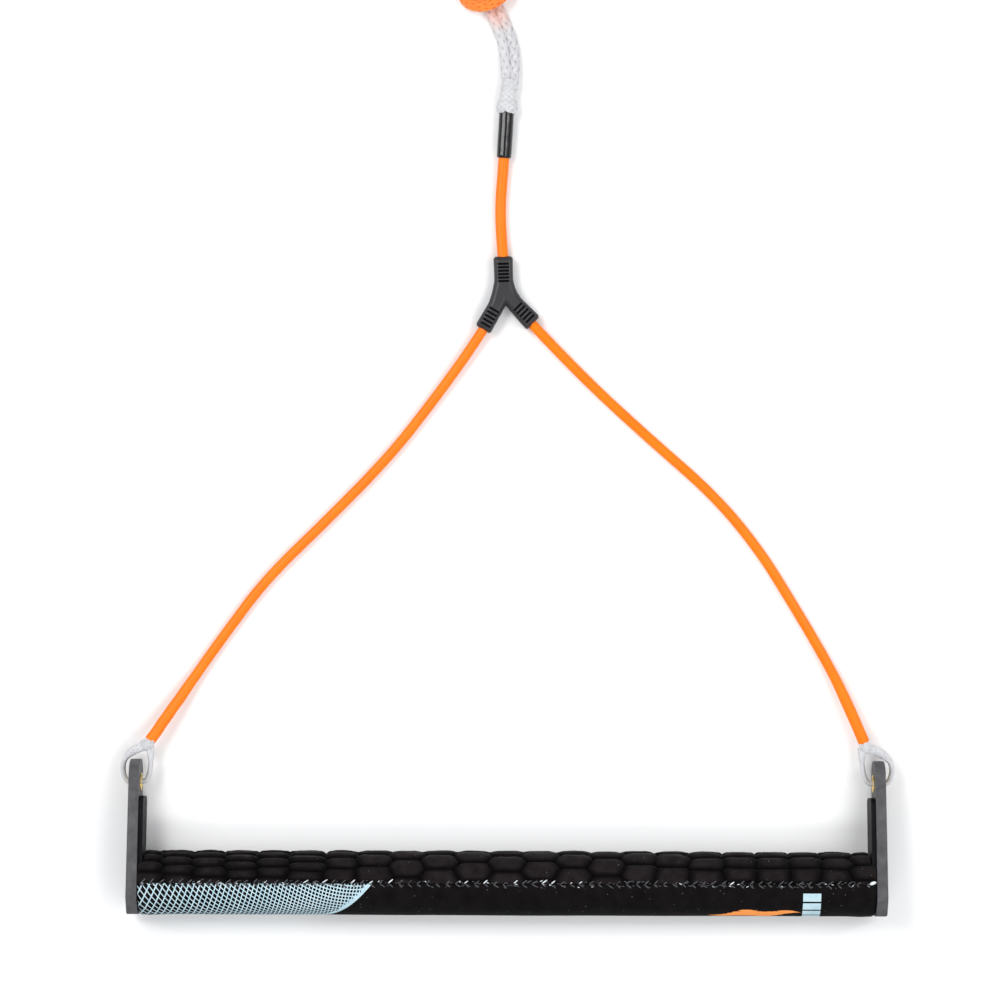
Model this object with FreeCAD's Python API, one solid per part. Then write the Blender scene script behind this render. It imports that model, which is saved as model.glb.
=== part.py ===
import FreeCAD, Part
import math
import os

# Tow rope handle, lying flat on a surface. Millimetres.
# +X runs along the bar, +Y from the bar towards the rope, +Z up from the surface.
# The origin is under the middle of the rigid handle, on the surface.

Vec = FreeCAD.Vector

# ---------------------------------------------------------------- driving sizes
# Bar and its padded grip
width_over_arms = 381.6
tube_od = 25.4
tube_wall = 1.6
plug_length = 22.0
plug_flange = 3.0
foam_end_gap = 1.0
underlay_thickness = 1.25
print_panel_thickness = 1.35
pad_extra = 2.0
seam_width = 4.0
seam_height = 0.35
seam_gap = 0.3
seam_offset = 2.0

# End arms
arm_thickness = 5.3
arm_lean = 0.65
arm_above_bar = 62.9
arm_below_bar = 15.0
arm_half_width_bar = 14.5
arm_half_width_tip = 11.0
arm_half_width_foot = 7.5
arm_widest_below_bar = 7.0
arm_tip_radius = 9.5
arm_edge_radius = 0.8
arm_foot_radius = 2.0

# Brace inside each arm
brace_thickness = 2.4
brace_half_width = 11.0
brace_top = 44.3
brace_corner = 4.0

# Fastener through each arm into the tube plug
screw_d = 6.0
screw_head_d = 12.0
screw_in_plug = 18.0
screw_bore_in_plug = 20.0
screw_socket = 4.0
screw_socket_depth = 3.0

# Brass eyelet near each arm's tip
eyelet_below_tip = 11.5
eyelet_bore_d = 6.0
eyelet_barrel_d = 7.2
eyelet_flange_d = 9.4
eyelet_flange = 0.6
eyelet_rim = 0.55
washer_d = 11.0
washer_thickness = 0.4

# Seal ring on each plug
seal_section = 2.0
seal_from_flange = 8.0

# Cords
leg_rope_d = 5.1
eye_strand_d = 3.6
eye_throat_d = 6.6
lead_rope_d = 5.5
tow_loop_d = 4.6
tow_stem_d = 5.4
tow_stem_length = 9.0
tow_neck_d = 7.8
tow_neck_lap = 0.4
mainline_d = 6.4

# Yoke
yoke_width = 9.6
yoke_height = 9.2
yoke_bevel = 1.8
yoke_hub_r = 5.95
yoke_wall_clearance = 0.1
yoke_stem_length = 19.4
yoke_leg_length = 20.6
yoke_groove = 0.8
yoke_groove_depth = 0.5
yoke_groove_pitch = 1.7
yoke_groove_inset = 2.4
yoke_stem_grooves = 6
yoke_leg_grooves = 5
yoke_mouth_flare = 0.8
yoke_mouth_depth = 1.3
splice_stub = 8.0
splice_below_mouth = 1.2
lead_below_mouth = 0.9

# Sleeve on the lead and on the main line
sleeve_od = 7.5
sleeve_length = 24.2
main_sleeve_width = 15.0
main_sleeve_height = 8.6
main_sleeve_length = 20.0
main_sleeve_start = 31.5
main_sleeve_w = 4.3
knot_d = 13.0
knot_length = 16.0

# Clearances
slip = 0.05
joint_gap = 0.3
screw_clearance = 0.3

# ---------------------------------------------------------------- placed sizes
tube_r = tube_od / 2
bore_r = tube_r - tube_wall
underlay_r = tube_r + slip + underlay_thickness
panel_inner_r = underlay_r + slip
panel_r = panel_inner_r + print_panel_thickness
bar_z = panel_r + seam_height + slip

seat_x = width_over_arms / 2 - arm_thickness - arm_half_width_bar * math.tan(math.radians(arm_lean))
brace_x = seat_x - brace_thickness
tube_end_x = brace_x - plug_flange

eyelet_above_bar = arm_above_bar - eyelet_below_tip

# The arms' tips rest on the surface, so the arms hang down a little from level.
corner_v = arm_above_bar - arm_tip_radius
edge_slope = (arm_half_width_bar - arm_half_width_tip) / (arm_above_bar + arm_widest_below_bar)
corner_w = arm_half_width_tip + arm_tip_radius * (edge_slope - math.hypot(1, edge_slope))
corner_reach = math.hypot(corner_v, corner_w)
arm_drop = math.degrees(math.asin((bar_z - arm_tip_radius) / corner_reach) - math.atan2(corner_w, corner_v))
drop_cos = math.cos(math.radians(arm_drop))
drop_sin = math.sin(math.radians(arm_drop))

reach_up = corner_v * drop_cos + corner_w * drop_sin + arm_tip_radius
reach_down = max(panel_r, arm_below_bar * drop_cos + arm_half_width_foot * drop_sin)
bar_y = (reach_down - reach_up) / 2

eye_y = bar_y + eyelet_above_bar * drop_cos
eye_z = bar_z - eyelet_above_bar * drop_sin
eyelet_x = width_over_arms / 2 - eyelet_above_bar * math.tan(math.radians(arm_lean)) - arm_thickness / 2

yoke_z = yoke_height / 2
yoke_centre = Vec(-2.3, 274.2, yoke_z)
yoke_stem_angle = 2.0
yoke_left_angle = 30.0
yoke_right_angle = 45.5

sleeve_start = Vec(-2.7, 343.5, 3.8)
sleeve_end = sleeve_start + Vec(1.4, 24.1, 1.0).normalize() * sleeve_length


def heading(angle, upward):
    """A level unit vector, turned by angle from +Y (upward) or from -Y, positive towards +X."""
    side = math.sin(math.radians(angle))
    along = math.cos(math.radians(angle))
    return Vec(side, along if upward else -along, 0)


stem_heading = heading(-yoke_stem_angle, True)
left_heading = heading(-yoke_left_angle, False)
right_heading = heading(yoke_right_angle, False)

# The bridle's fall from the eyelets down to the surface, and where each leg begins
eye_fall = 5.0
throat_reach = 20.3
throat_length = 4.6


def eye_point(side, out, u):
    """A point of an eye loop: out past the eyelet's middle, u away from it along the falling bridle."""
    fall = math.radians(eye_fall)
    return Vec(side * (eyelet_x + out), eye_y + u * math.cos(fall), eye_z - u * math.sin(fall))


left_throat = eye_point(-1, -6.67, throat_reach)
right_throat = eye_point(1, -7.07, throat_reach)

# ---------------------------------------------------------------- cord routes
# Points chosen along each cord's centre line; the tube rounds them with tangent arcs.
left_leg_route = [
    yoke_centre + left_heading * (splice_stub + 2 * slip),
    Vec(-16.5, 250.5, 4.2),
    Vec(-36.6, 222.5, 2.6),
    Vec(-59.4, 193, 2.6),
    Vec(-91, 160.5, 2.6),
    Vec(-122, 130.5, 2.6),
    Vec(-141, 105, 2.6),
    Vec(-157, 82.5, 2.8),
    Vec(-168.5, 65.5, 6.4),
    left_throat,
]
right_leg_route = [
    yoke_centre + right_heading * (splice_stub + 2 * slip),
    Vec(15.5, 255.4, 4.3),
    Vec(42, 228.5, 2.6),
    Vec(71.6, 201.5, 2.6),
    Vec(104.5, 173, 2.6),
    Vec(127, 146, 2.6),
    Vec(143, 120.5, 2.6),
    Vec(158, 95.5, 2.7),
    Vec(170, 73, 5.8),
    right_throat,
]
# Eye loops: how far out past the eyelet's middle, and u from the eyelet, from throat to bore
left_outer_route = [(-4.97, 18.2), (1.83, 16.2), (7.03, 9.6), (5.33, 0), (-0.37, 0)]
left_inner_route = [(-6.97, 17.4), (-7.97, 10.8), (-6.47, 0), (-0.37, 0)]
right_outer_route = [(-5.77, 18.2), (1.63, 16.0), (7.43, 9.4), (5.33, 0), (-0.37, 0)]
right_inner_route = [(-8.17, 17.6), (-8.97, 11.2), (-6.57, 0), (-0.37, 0)]

lead_rope_route = [
    yoke_centre + stem_heading * (yoke_stem_length - lead_below_mouth),
    Vec(-3.9, 303.5, 3.5),
    Vec(-4.5, 320, 2.8),
    sleeve_start - (sleeve_end - sleeve_start).normalize() * 5.5,
    sleeve_start + (sleeve_end - sleeve_start) * 0.5,
]

# The tow loop and the main line's end loop are hitched through each other. Their points are
# (u, v, w): u along the loops from the crossing, v to the right of that, w above the surface.
hitch_centre = Vec(-15.7, 436.5, 0)
hitch_lean = 24.0
tow_right_hitch = [
    (-26, 2.4, 2.35), (-13.5, 2.4, 2.35), (-8, 3.6, 4.0), (-4.2, 5.0, 9.6),
    (3.8, 9.4, 9.6), (9.5, 10.8, 4.2), (15, 8.6, 2.35), (18.5, 3.4, 2.35),
]
tow_left_hitch = [
    (-25.4, -2.4, 2.35), (-13.2, -2.4, 2.35), (-8, -3.7, 4.0), (-4.1, -5.1, 9.6),
    (3.9, -9.5, 9.6), (9.4, -10.6, 4.2), (14.8, -8.5, 2.35), (18.6, -3.2, 2.35),
]
tow_right_lead = [Vec(1.7, 378.5, 4.7), Vec(2.7, 388, 3.7), Vec(2.6, 395.6, 2.6), Vec(1.1, 404.6, 2.35)]
tow_left_lead = [Vec(-0.6, 378.5, 4.7), Vec(-2.0, 388, 3.7), Vec(-2.3, 395, 2.6), Vec(-3.6, 403.2, 2.35)]
main_left_hitch = [
    (-16.3, -4.4, 8.9), (-12.3, -10.3, 6.8), (-7, -11.6, 3.3), (-2.2, -9.5, 3.3),
    (4.2, -4.8, 3.4), (9.6, -3.4, 6.0), (15.0, -3.4, 9.0), (21, -3.4, 8.2), (30, -3.35, 3.6),
    (41, -3.3, 3.3),
]
main_right_hitch = [
    (-16.3, 4.4, 8.9), (-12.2, 10.4, 6.8), (-7, 11.6, 3.3), (-2.2, 9.4, 3.3),
    (4.2, 4.8, 3.4), (9.6, 3.4, 6.0), (15.0, 3.4, 9.0), (21, 3.35, 8.2), (30, 3.3, 3.6),
    (38.5, 3.0, 3.3), (48, 0.4, 3.3), (55, -0.3, 4.9), (63.5, 0.2, 6.0),
]
hitch_along = heading(-hitch_lean, True)
hitch_across = Vec(hitch_along.y, -hitch_along.x, 0)


def hitch_points(places):
    """Places (u, v, w) of the hitch as points."""
    return [hitch_centre + hitch_along * u + hitch_across * v + Vec(0, 0, w) for u, v, w in places]


# ---------------------------------------------------------------- helpers
def disc_wire(centre, direction, radius):
    """A circle as a wire."""
    return Part.Wire([Part.Circle(centre, direction, radius).toShape()])


def rod(start, end, radius, end_radius=None):
    """A solid cylinder, or cone, between two points."""
    way = end - start
    if end_radius is None:
        return Part.makeCylinder(radius, way.Length, start, way)
    return Part.makeCone(radius, end_radius, way.Length, start, way)


def pipe(start, end, inner, outer):
    """A hollow cylinder between two points."""
    over = (end - start).normalize()
    return rod(start, end, outer).cut(rod(start - over, end + over, inner))


def turned(profile, start, way):
    """A profile of (distance along, radius) turned about the line from start along way."""
    points = [Vec(r, 0, a) for a, r in profile]
    face = Part.Face(Part.makePolygon(points + [points[0]]))
    solid = face.revolve(Vec(0, 0, 0), Vec(0, 0, 1), 360)
    solid.Placement = FreeCAD.Placement(start, FreeCAD.Rotation(Vec(0, 0, 1), way)).multiply(solid.Placement)
    return solid


def cord_path(name, route):
    """Straight runs joined by tangent arcs, each arc as large as its two runs allow."""
    edges = []
    radii = []
    here = route[0]
    for before, corner, after in zip(route, route[1:], route[2:]):
        back = before - corner
        onward = after - corner
        turn = math.pi - back.getAngle(onward)
        trim = 0.45 * min(back.Length, onward.Length)
        radius = trim / math.tan(turn / 2)
        radii.append(round(radius, 1))
        start = corner + back.normalize() * trim
        end = corner + onward.normalize() * trim
        inward = (back + onward).normalize()
        middle = corner + inward * (radius / math.cos(turn / 2) - radius)
        edges.append(Part.LineSegment(here, start).toShape())
        edges.append(Part.Arc(start, middle, end).toShape())
        here = end
    edges.append(Part.LineSegment(here, route[-1]).toShape())
    path = Part.Wire(edges)
    print(f"{name}: length {path.Length:.1f}, radii {radii}")
    return path


def cord(name, route, diameter):
    """A round tube along a cord's route."""
    path = cord_path(name, route)
    section = disc_wire(route[0], route[1] - route[0], diameter / 2)
    tube = path.makePipeShell([section], True, False)
    expected = math.pi * diameter**2 / 4 * path.Length
    print(f"  volume {tube.Volume:.1f}, section times length {expected:.1f}")
    return tube


def on_bar(shape):
    """Moves a shape drawn round the origin to the bar's axis."""
    return shape.translated(Vec(0, bar_y, bar_z))


def with_arm(shape):
    """Moves a shape drawn with the arm level to where the arm hangs."""
    return on_bar(shape.rotated(Vec(0, 0, 0), Vec(1, 0, 0), -arm_drop))


def mirrored(shape):
    """The same piece at the bar's other end."""
    return shape.mirror(Vec(0, 0, 0), Vec(1, 0, 0))


def prism(points, way):
    """A straight prism on a flat outline."""
    return Part.Face(Part.makePolygon(points + [points[0]])).extrude(way)


def arm_outer_x(v):
    """Where the arm's outer face is, at a height v above the bar's axis."""
    return width_over_arms / 2 - v * math.tan(math.radians(arm_lean))


def rounded_edges(solid, way, radius, keep=lambda point: True):
    """Rounds the edges that run along a direction."""
    chosen = []
    for edge in solid.Edges:
        along = edge.tangentAt(edge.FirstParameter)
        if abs(abs(along.dot(way)) - 1) < 1e-6 and edge.Length > radius and keep(edge.CenterOfMass):
            chosen.append(edge)
    return solid.makeFillet(radius, chosen)


# ---------------------------------------------------------------- bar
def bar_tube():
    return on_bar(pipe(Vec(-tube_end_x, 0, 0), Vec(tube_end_x, 0, 0), bore_r, tube_r))


def flotation_foam():
    half = tube_end_x - plug_length - foam_end_gap
    return on_bar(rod(Vec(-half, 0, 0), Vec(half, 0, 0), bore_r - 4 * slip))


def tube_plug():
    """Flanged plug in the tube's end, with a seal groove and the screw's bore."""
    flange = rod(Vec(tube_end_x, 0, 0), Vec(brace_x, 0, 0), tube_r)
    body = rod(Vec(tube_end_x - plug_length, 0, 0), Vec(tube_end_x, 0, 0), bore_r - 2 * slip)
    plug = flange.fuse(body)
    groove_x = tube_end_x - seal_from_flange
    groove_half = seal_section / 2 + 4 * slip
    groove_floor = bore_r - seal_section - 2 * slip
    near = Vec(groove_x - groove_half, 0, 0)
    far = Vec(groove_x + groove_half, 0, 0)
    plug = plug.cut(pipe(near, far, groove_floor, tube_r))
    plug = plug.cut(rod(Vec(brace_x - screw_bore_in_plug, 0, 0), Vec(brace_x, 0, 0), screw_d / 2 + slip))
    return on_bar(plug.removeSplitter())


def plug_seal():
    ring_r = bore_r - seal_section / 2 - slip
    ring = Part.makeTorus(ring_r, seal_section / 2, Vec(tube_end_x - seal_from_flange, 0, 0), Vec(1, 0, 0))
    return on_bar(ring)


def grip_underlay():
    half = brace_x - 4 * slip
    return on_bar(pipe(Vec(-half, 0, 0), Vec(half, 0, 0), tube_r + slip, underlay_r))


def grip_end_x():
    return seat_x - joint_gap


def half_wrap(outer_r, offset, side):
    """Half of the grip's cover, from seam to seam, on one side of the bar."""
    half = grip_end_x()
    outer = rod(Vec(-half, offset, 0), Vec(half, offset, 0), outer_r)
    inner = rod(Vec(-half - 1, 0, 0), Vec(half + 1, 0, 0), panel_inner_r)
    reach = outer_r + pad_extra + 1
    edge = seam_offset + side * seam_gap / 2
    low = edge if side > 0 else edge - 2 * reach
    block = Part.makeBox(2 * half + 4, 2 * reach, 2 * reach, Vec(-half - 2, low, -reach))
    return on_bar(outer.cut(inner).common(block))


def grip_pad_panel():
    """The padded half on the rope side, notched for the two braces."""
    panel = half_wrap(panel_r, pad_extra, 1)
    width = 2 * (brace_half_width + joint_gap)
    depth = brace_thickness + 2 * joint_gap
    notch = Part.makeBox(depth, 40, width, Vec(brace_x - joint_gap, 0, -width / 2))
    panel = panel.cut(with_arm(notch)).cut(mirrored(with_arm(notch)))
    return panel


def grip_print_panel():
    """The smooth printed half on the side away from the rope."""
    return half_wrap(panel_r, 0, -1)


def seam_thread(side):
    """The stitched ridge over one seam."""
    half = grip_end_x() - 1
    base = panel_r + slip
    low = base if side > 0 else -base - seam_height
    near = seam_offset - seam_width / 2
    return on_bar(Part.makeBox(2 * half, seam_width, seam_height, Vec(-half, near, low)))


# ---------------------------------------------------------------- arms
def arm_side(v_top, half_top, v_wide, half_wide, v_foot, half_foot):
    """The arm's outline seen along the bar, as a thick prism."""
    outline = [
        Vec(0, v_top, half_top), Vec(0, v_wide, half_wide), Vec(0, v_foot, half_foot),
        Vec(0, v_foot, -half_foot), Vec(0, v_wide, -half_wide), Vec(0, v_top, -half_top),
    ]
    return prism(outline, Vec(2 * arm_thickness + 20, 0, 0)).translated(Vec(seat_x - 15, 0, 0))


def arm_frame(x):
    """A point on the eyelet's axis, and the arm's normal there."""
    lean = math.radians(arm_lean)
    return Vec(x, eyelet_above_bar, 0), Vec(math.cos(lean), math.sin(lean), 0)


def arm():
    """Moulded end arm: a strap from the bar up to its eyelet, with a countersunk screw hole."""
    side = arm_side(
        arm_above_bar, arm_half_width_tip, -arm_widest_below_bar, arm_half_width_bar,
        -arm_below_bar, arm_half_width_foot,
    )
    side = rounded_edges(side, Vec(1, 0, 0), arm_tip_radius, lambda p: p.y > arm_above_bar - 1)
    side = rounded_edges(side, Vec(1, 0, 0), arm_foot_radius, lambda p: p.y < 0)
    reach = arm_half_width_bar + 5
    low = -arm_below_bar - 5
    high = arm_above_bar + 5
    section = [
        Vec(arm_outer_x(low), low, -reach), Vec(arm_outer_x(high), high, -reach),
        Vec(arm_outer_x(high) - arm_thickness, high, -reach),
        Vec(seat_x, arm_half_width_bar, -reach), Vec(seat_x, low, -reach),
    ]
    body = side.common(prism(section, Vec(0, 0, 2 * reach)))
    outer_rim = [
        edge for edge in body.Edges
        if min(abs(v.X - arm_outer_x(v.Y)) for v in edge.Vertexes) < 1e-6
        and max(abs(v.X - arm_outer_x(v.Y)) for v in edge.Vertexes) < 1e-6
    ]
    body = body.makeFillet(arm_edge_radius, outer_rim)
    centre, normal = arm_frame(eyelet_x)
    body = body.cut(rod(centre - normal * 10, centre + normal * 10, eyelet_barrel_d / 2 + slip))
    hole_r = screw_d / 2 + screw_clearance
    body = body.cut(rod(Vec(seat_x - 1, 0, 0), Vec(seat_x + 20, 0, 0), hole_r))
    head_x = screw_head_x()
    sink = screw_head_d / 2 + slip
    body = body.cut(rod(Vec(head_x - sink, 0, 0), Vec(head_x, 0, 0), 0, sink))
    body = body.cut(rod(Vec(head_x, 0, 0), Vec(head_x + 5, 0, 0), sink))
    return with_arm(body)


def screw_head_x():
    """The flat top of the screw's head, just under the arm's outer face."""
    return arm_outer_x(screw_head_d / 2) - 2 * slip


def arm_brace():
    """Plate clamped between the arm and the plug, with a tongue up the arm's inner face."""
    reach = brace_half_width + 5
    low = -tube_r - 1
    top_x = arm_outer_x(brace_top) - arm_thickness
    section = [
        Vec(seat_x, low, -reach), Vec(seat_x, arm_half_width_bar, -reach), Vec(top_x, brace_top, -reach),
        Vec(top_x - brace_thickness, brace_top, -reach),
        Vec(brace_x, arm_half_width_bar, -reach), Vec(brace_x, low, -reach),
    ]
    tongue = Part.makeBox(20, brace_top, 2 * brace_half_width, Vec(seat_x - 15, 0, -brace_half_width))
    tongue = rounded_edges(tongue, Vec(1, 0, 0), brace_corner, lambda p: p.y > brace_top - 1)
    side = tongue.fuse(rod(Vec(seat_x - 15, 0, 0), Vec(seat_x + 5, 0, 0), tube_r)).removeSplitter()
    body = side.common(prism(section, Vec(0, 0, 2 * reach)))
    body = body.cut(rod(Vec(seat_x - 15, 0, 0), Vec(seat_x + 5, 0, 0), screw_d / 2 + screw_clearance))
    return with_arm(body)


def arm_screw():
    """Countersunk socket screw from the arm's outer face into the plug."""
    head_x = screw_head_x()
    head_r = screw_head_d / 2
    head = rod(Vec(head_x - head_r, 0, 0), Vec(head_x, 0, 0), 0, head_r)
    shank = rod(Vec(brace_x - screw_in_plug, 0, 0), Vec(head_x - screw_d / 2, 0, 0), screw_d / 2)
    screw = head.fuse(shank).removeSplitter()
    socket_r = screw_socket / 2 / math.cos(math.radians(30))
    floor_x = head_x - screw_socket_depth
    corners = [
        Vec(floor_x, socket_r * math.cos(math.radians(60 * k)), socket_r * math.sin(math.radians(60 * k)))
        for k in range(6)
    ]
    return on_bar(screw.cut(prism(corners, Vec(screw_socket_depth + 1, 0, 0))))


def eyelet():
    """Brass barrel through the arm, flanged inside and flared outside."""
    centre, normal = arm_frame(eyelet_x)
    bore = eyelet_bore_d / 2
    barrel = eyelet_barrel_d / 2
    flange = eyelet_flange_d / 2
    inner_face = -arm_thickness / 2
    outer_face = arm_thickness / 2 + washer_thickness
    rim = eyelet_rim
    profile = [
        (inner_face - eyelet_flange, bore + rim), (inner_face - eyelet_flange + rim, bore),
        (outer_face - rim, bore), (outer_face, bore + rim / 2), (outer_face, barrel),
        (inner_face, barrel), (inner_face, flange), (inner_face - eyelet_flange / 2, flange),
        (inner_face - eyelet_flange, flange - rim),
    ]
    return with_arm(turned(profile, centre, normal))


def eyelet_washer():
    centre, normal = arm_frame(eyelet_x)
    start = centre + normal * (arm_thickness / 2)
    return with_arm(pipe(start, start + normal * washer_thickness, eyelet_barrel_d / 2 + slip, washer_d / 2))


# ---------------------------------------------------------------- bridle
def eye_loop(name, side, outer, inner, throat, leg_route):
    """Uncoated core: a splice at the leg's end that forks and passes through the eyelet."""
    halves = [
        cord(f"{name} {part}", [eye_point(side, out, u) for out, u in route], eye_strand_d)
        for part, route in (("outer", outer), ("inner", inner))
    ]
    back = (throat - leg_route[-2]).normalize()
    splice = rod(throat, throat + back * throat_length, leg_rope_d / 2, eye_throat_d / 2)
    return splice.fuse(halves).removeSplitter()


def yoke_branch(way, length, grooves):
    """One arm of the yoke: a bevelled bar with grip grooves round its outer end."""
    half_w = yoke_width / 2
    half_h = yoke_height / 2
    branch = Part.makeBox(length, yoke_width, yoke_height, Vec(0, -half_w, -half_h))
    edges = [e for e in branch.Edges if abs(e.tangentAt(0).x) > 0.9]
    branch = branch.makeChamfer(yoke_bevel, edges)
    for k in range(grooves):
        x = length - yoke_groove_inset - k * yoke_groove_pitch
        ring = Part.makeBox(yoke_groove, yoke_width + 2, yoke_height + 2, Vec(x, -half_w - 1, -half_h - 1))
        core_w = yoke_width - 2 * yoke_groove_depth
        core_h = yoke_height - 2 * yoke_groove_depth
        core = Part.makeBox(yoke_groove, core_w, core_h, Vec(x, -core_w / 2, -core_h / 2))
        branch = branch.cut(ring.cut(core))
    angle = math.degrees(math.atan2(way.y, way.x))
    return branch.rotated(Vec(0, 0, 0), Vec(0, 0, 1), angle).translated(yoke_centre)


def splice_shape(extra):
    """The spliced rope ends inside the yoke, or with extra the room for them."""
    leg_r = leg_rope_d / 2 + extra / 2
    leg_reach = splice_stub + 4 * extra
    stem_r = lead_rope_d / 2 + extra
    stem_reach = yoke_stem_length - splice_below_mouth + extra
    shape = Part.makeSphere(stem_r, yoke_centre)
    shape = shape.fuse(rod(yoke_centre, yoke_centre + stem_heading * stem_reach, stem_r))
    for way in (left_heading, right_heading):
        shape = shape.fuse(rod(yoke_centre, yoke_centre + way * leg_reach, leg_r))
    return shape


def yoke_body():
    """The outside of the whole moulded Y."""
    body = yoke_branch(stem_heading, yoke_stem_length, yoke_stem_grooves)
    body = body.fuse(yoke_branch(left_heading, yoke_leg_length, yoke_leg_grooves))
    body = body.fuse(yoke_branch(right_heading, yoke_leg_length, yoke_leg_grooves))
    hub = Part.makeCylinder(yoke_hub_r, yoke_height, yoke_centre - Vec(0, 0, yoke_height / 2))
    return body.fuse(hub).removeSplitter()


def yoke_room():
    """The room inside the yoke for the splice and the ropes, flared at the stem's mouth."""
    leg_room_d = leg_rope_d + 2 * yoke_wall_clearance
    mouth = yoke_centre + stem_heading * yoke_stem_length
    mouth_floor = mouth - stem_heading * yoke_mouth_depth
    flare_r = lead_rope_d / 2 + joint_gap
    return [
        splice_shape(yoke_wall_clearance),
        cord("room in the left leg", left_leg_route[:4], leg_room_d),
        cord("room in the right leg", right_leg_route[:4], leg_room_d),
        rod(mouth_floor, mouth + stem_heading, flare_r, flare_r + yoke_mouth_flare),
    ]


def yoke_half(side):
    """The half of the yoke above or below its parting plane, hollowed for the ropes."""
    block = Part.makeBox(120, 120, 20, yoke_centre + Vec(-60, -60, 0 if side > 0 else -20))
    half = yoke_body().common(block)
    for room in yoke_room():
        half = half.cut(room)
    return half


# ---------------------------------------------------------------- lead and tow loop
def lead_sleeve():
    """Shrunk sleeve over the joint of the lead rope and the tow loop."""
    way = (sleeve_end - sleeve_start).normalize()
    bore = lead_rope_d / 2 + slip
    outer = sleeve_od / 2
    round_off = (outer - bore) * 0.8
    profile = [
        (0, bore), (0, outer - round_off), (round_off, outer), (sleeve_length - round_off, outer),
        (sleeve_length, outer - round_off), (sleeve_length, bore),
    ]
    return turned(profile, sleeve_start, way)


def tow_stem_end():
    """Where the tow loop's single stem widens into its neck."""
    return sleeve_end + (sleeve_end - sleeve_start).normalize() * tow_stem_length


def tow_loop():
    """White braided loop: a stem out of the sleeve, a neck, and the loop through the hitch."""
    way = (sleeve_end - sleeve_start).normalize()
    stem_start = sleeve_start + way * (sleeve_length / 2 + slip)
    stem = rod(stem_start, tow_stem_end(), tow_stem_d / 2)
    neck_top = Vec(0.5, 384.5, 4.2)
    neck_start = tow_stem_end() - way * tow_neck_lap
    neck = rod(neck_start, neck_top, tow_stem_d / 2 - 4 * slip, tow_neck_d / 2)
    right = tow_right_lead + hitch_points(tow_right_hitch)
    left = tow_left_lead + hitch_points(tow_left_hitch)
    loop = cord("tow_loop", right + left[::-1], tow_loop_d)
    return loop.fuse([neck, stem]).removeSplitter()


def tow_loop_collar():
    """Bunched braid round the tow loop's stem, at the sleeve's end."""
    bore = tow_stem_d / 2 + slip
    profile = [
        (0.2, bore), (0.2, 3.5), (1.8, 4.7), (3.6, 4.9), (5.2, 4.3), (7.0, 3.9), (8.6, 3.2), (8.6, bore),
    ]
    return turned(profile, sleeve_end, (sleeve_end - sleeve_start).normalize())


def mainline_loop():
    """The main line's end loop, from its knot, round the hitch and back into the sleeve."""
    right = hitch_points(main_right_hitch)
    left = hitch_points(main_left_hitch)
    return cord("mainline_loop", right[::-1] + left, mainline_d)


def mainline_sleeve():
    """Shrunk sleeve that holds the end loop's two legs together."""
    start = hitch_points([(main_sleeve_start, 0, main_sleeve_w)])[0]
    half = main_sleeve_height / 2
    spread = main_sleeve_width / 2 - half
    sleeve = Part.makeBox(main_sleeve_length, 2 * spread, main_sleeve_height, Vec(0, -spread, -half))
    for side in (-spread, spread):
        sleeve = sleeve.fuse(Part.makeCylinder(half, main_sleeve_length, Vec(0, side, 0), Vec(1, 0, 0)))
    sleeve = sleeve.removeSplitter()
    angle = math.degrees(math.atan2(hitch_along.y, hitch_along.x))
    return sleeve.rotated(Vec(0, 0, 0), Vec(0, 0, 1), angle).translated(start)


def mainline_knot():
    """Stopper knot at the end of the main line's stub."""
    r = knot_d / 2
    before, stub_end = hitch_points(main_right_hitch[-2:])
    way = (stub_end - before).normalize()
    profile = [
        (0, 0), (0, 0.45 * r), (0.15 * knot_length, 0.75 * r), (0.42 * knot_length, r),
        (0.68 * knot_length, r), (0.88 * knot_length, 0.8 * r), (knot_length, 0.45 * r), (knot_length, 0),
    ]
    return turned(profile, stub_end + way * slip, way)


# ---------------------------------------------------------------- build
nodes = {
    "bar_tube": bar_tube(),
    "flotation_foam": flotation_foam(),
    "grip_underlay": grip_underlay(),
    "grip_pad_panel": grip_pad_panel(),
    "grip_print_panel": grip_print_panel(),
    "upper_seam_thread": seam_thread(1),
    "lower_seam_thread": seam_thread(-1),
    "left_eye_loop": eye_loop(
        "left_eye_loop", -1, left_outer_route, left_inner_route, left_throat, left_leg_route
    ),
    "right_eye_loop": eye_loop(
        "right_eye_loop", 1, right_outer_route, right_inner_route, right_throat, right_leg_route
    ),
    "left_leg_rope": cord("left_leg_rope", left_leg_route, leg_rope_d),
    "right_leg_rope": cord("right_leg_rope", right_leg_route, leg_rope_d),
    "yoke_upper_half": yoke_half(1),
    "yoke_lower_half": yoke_half(-1),
    "bridle_splice": splice_shape(0).removeSplitter(),
    "lead_rope": cord("lead_rope", lead_rope_route, lead_rope_d),
    "lead_sleeve": lead_sleeve(),
    "tow_loop": tow_loop(),
    "tow_loop_collar": tow_loop_collar(),
    "mainline_loop": mainline_loop(),
    "mainline_sleeve": mainline_sleeve(),
    "mainline_knot": mainline_knot(),
}
for piece in (tube_plug, plug_seal, arm, arm_brace, arm_screw, eyelet, eyelet_washer):
    nodes[f"right_{piece.__name__}"] = piece()
    nodes[f"left_{piece.__name__}"] = mirrored(nodes[f"right_{piece.__name__}"])

os.makedirs("parts", exist_ok=True)
for name, shape in nodes.items():
    shape.exportStep(f"parts/{name}.step")
    if not shape.isValid() or shape.Volume <= 0:
        print("check", name, shape.isValid(), round(shape.Volume, 2))
print(f"arm_drop {arm_drop:.2f}, bar ({bar_y:.2f}, {bar_z:.2f}), eyelets ({eye_y:.2f}, {eye_z:.2f})")
print(f"{len(nodes)} nodes")
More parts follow.
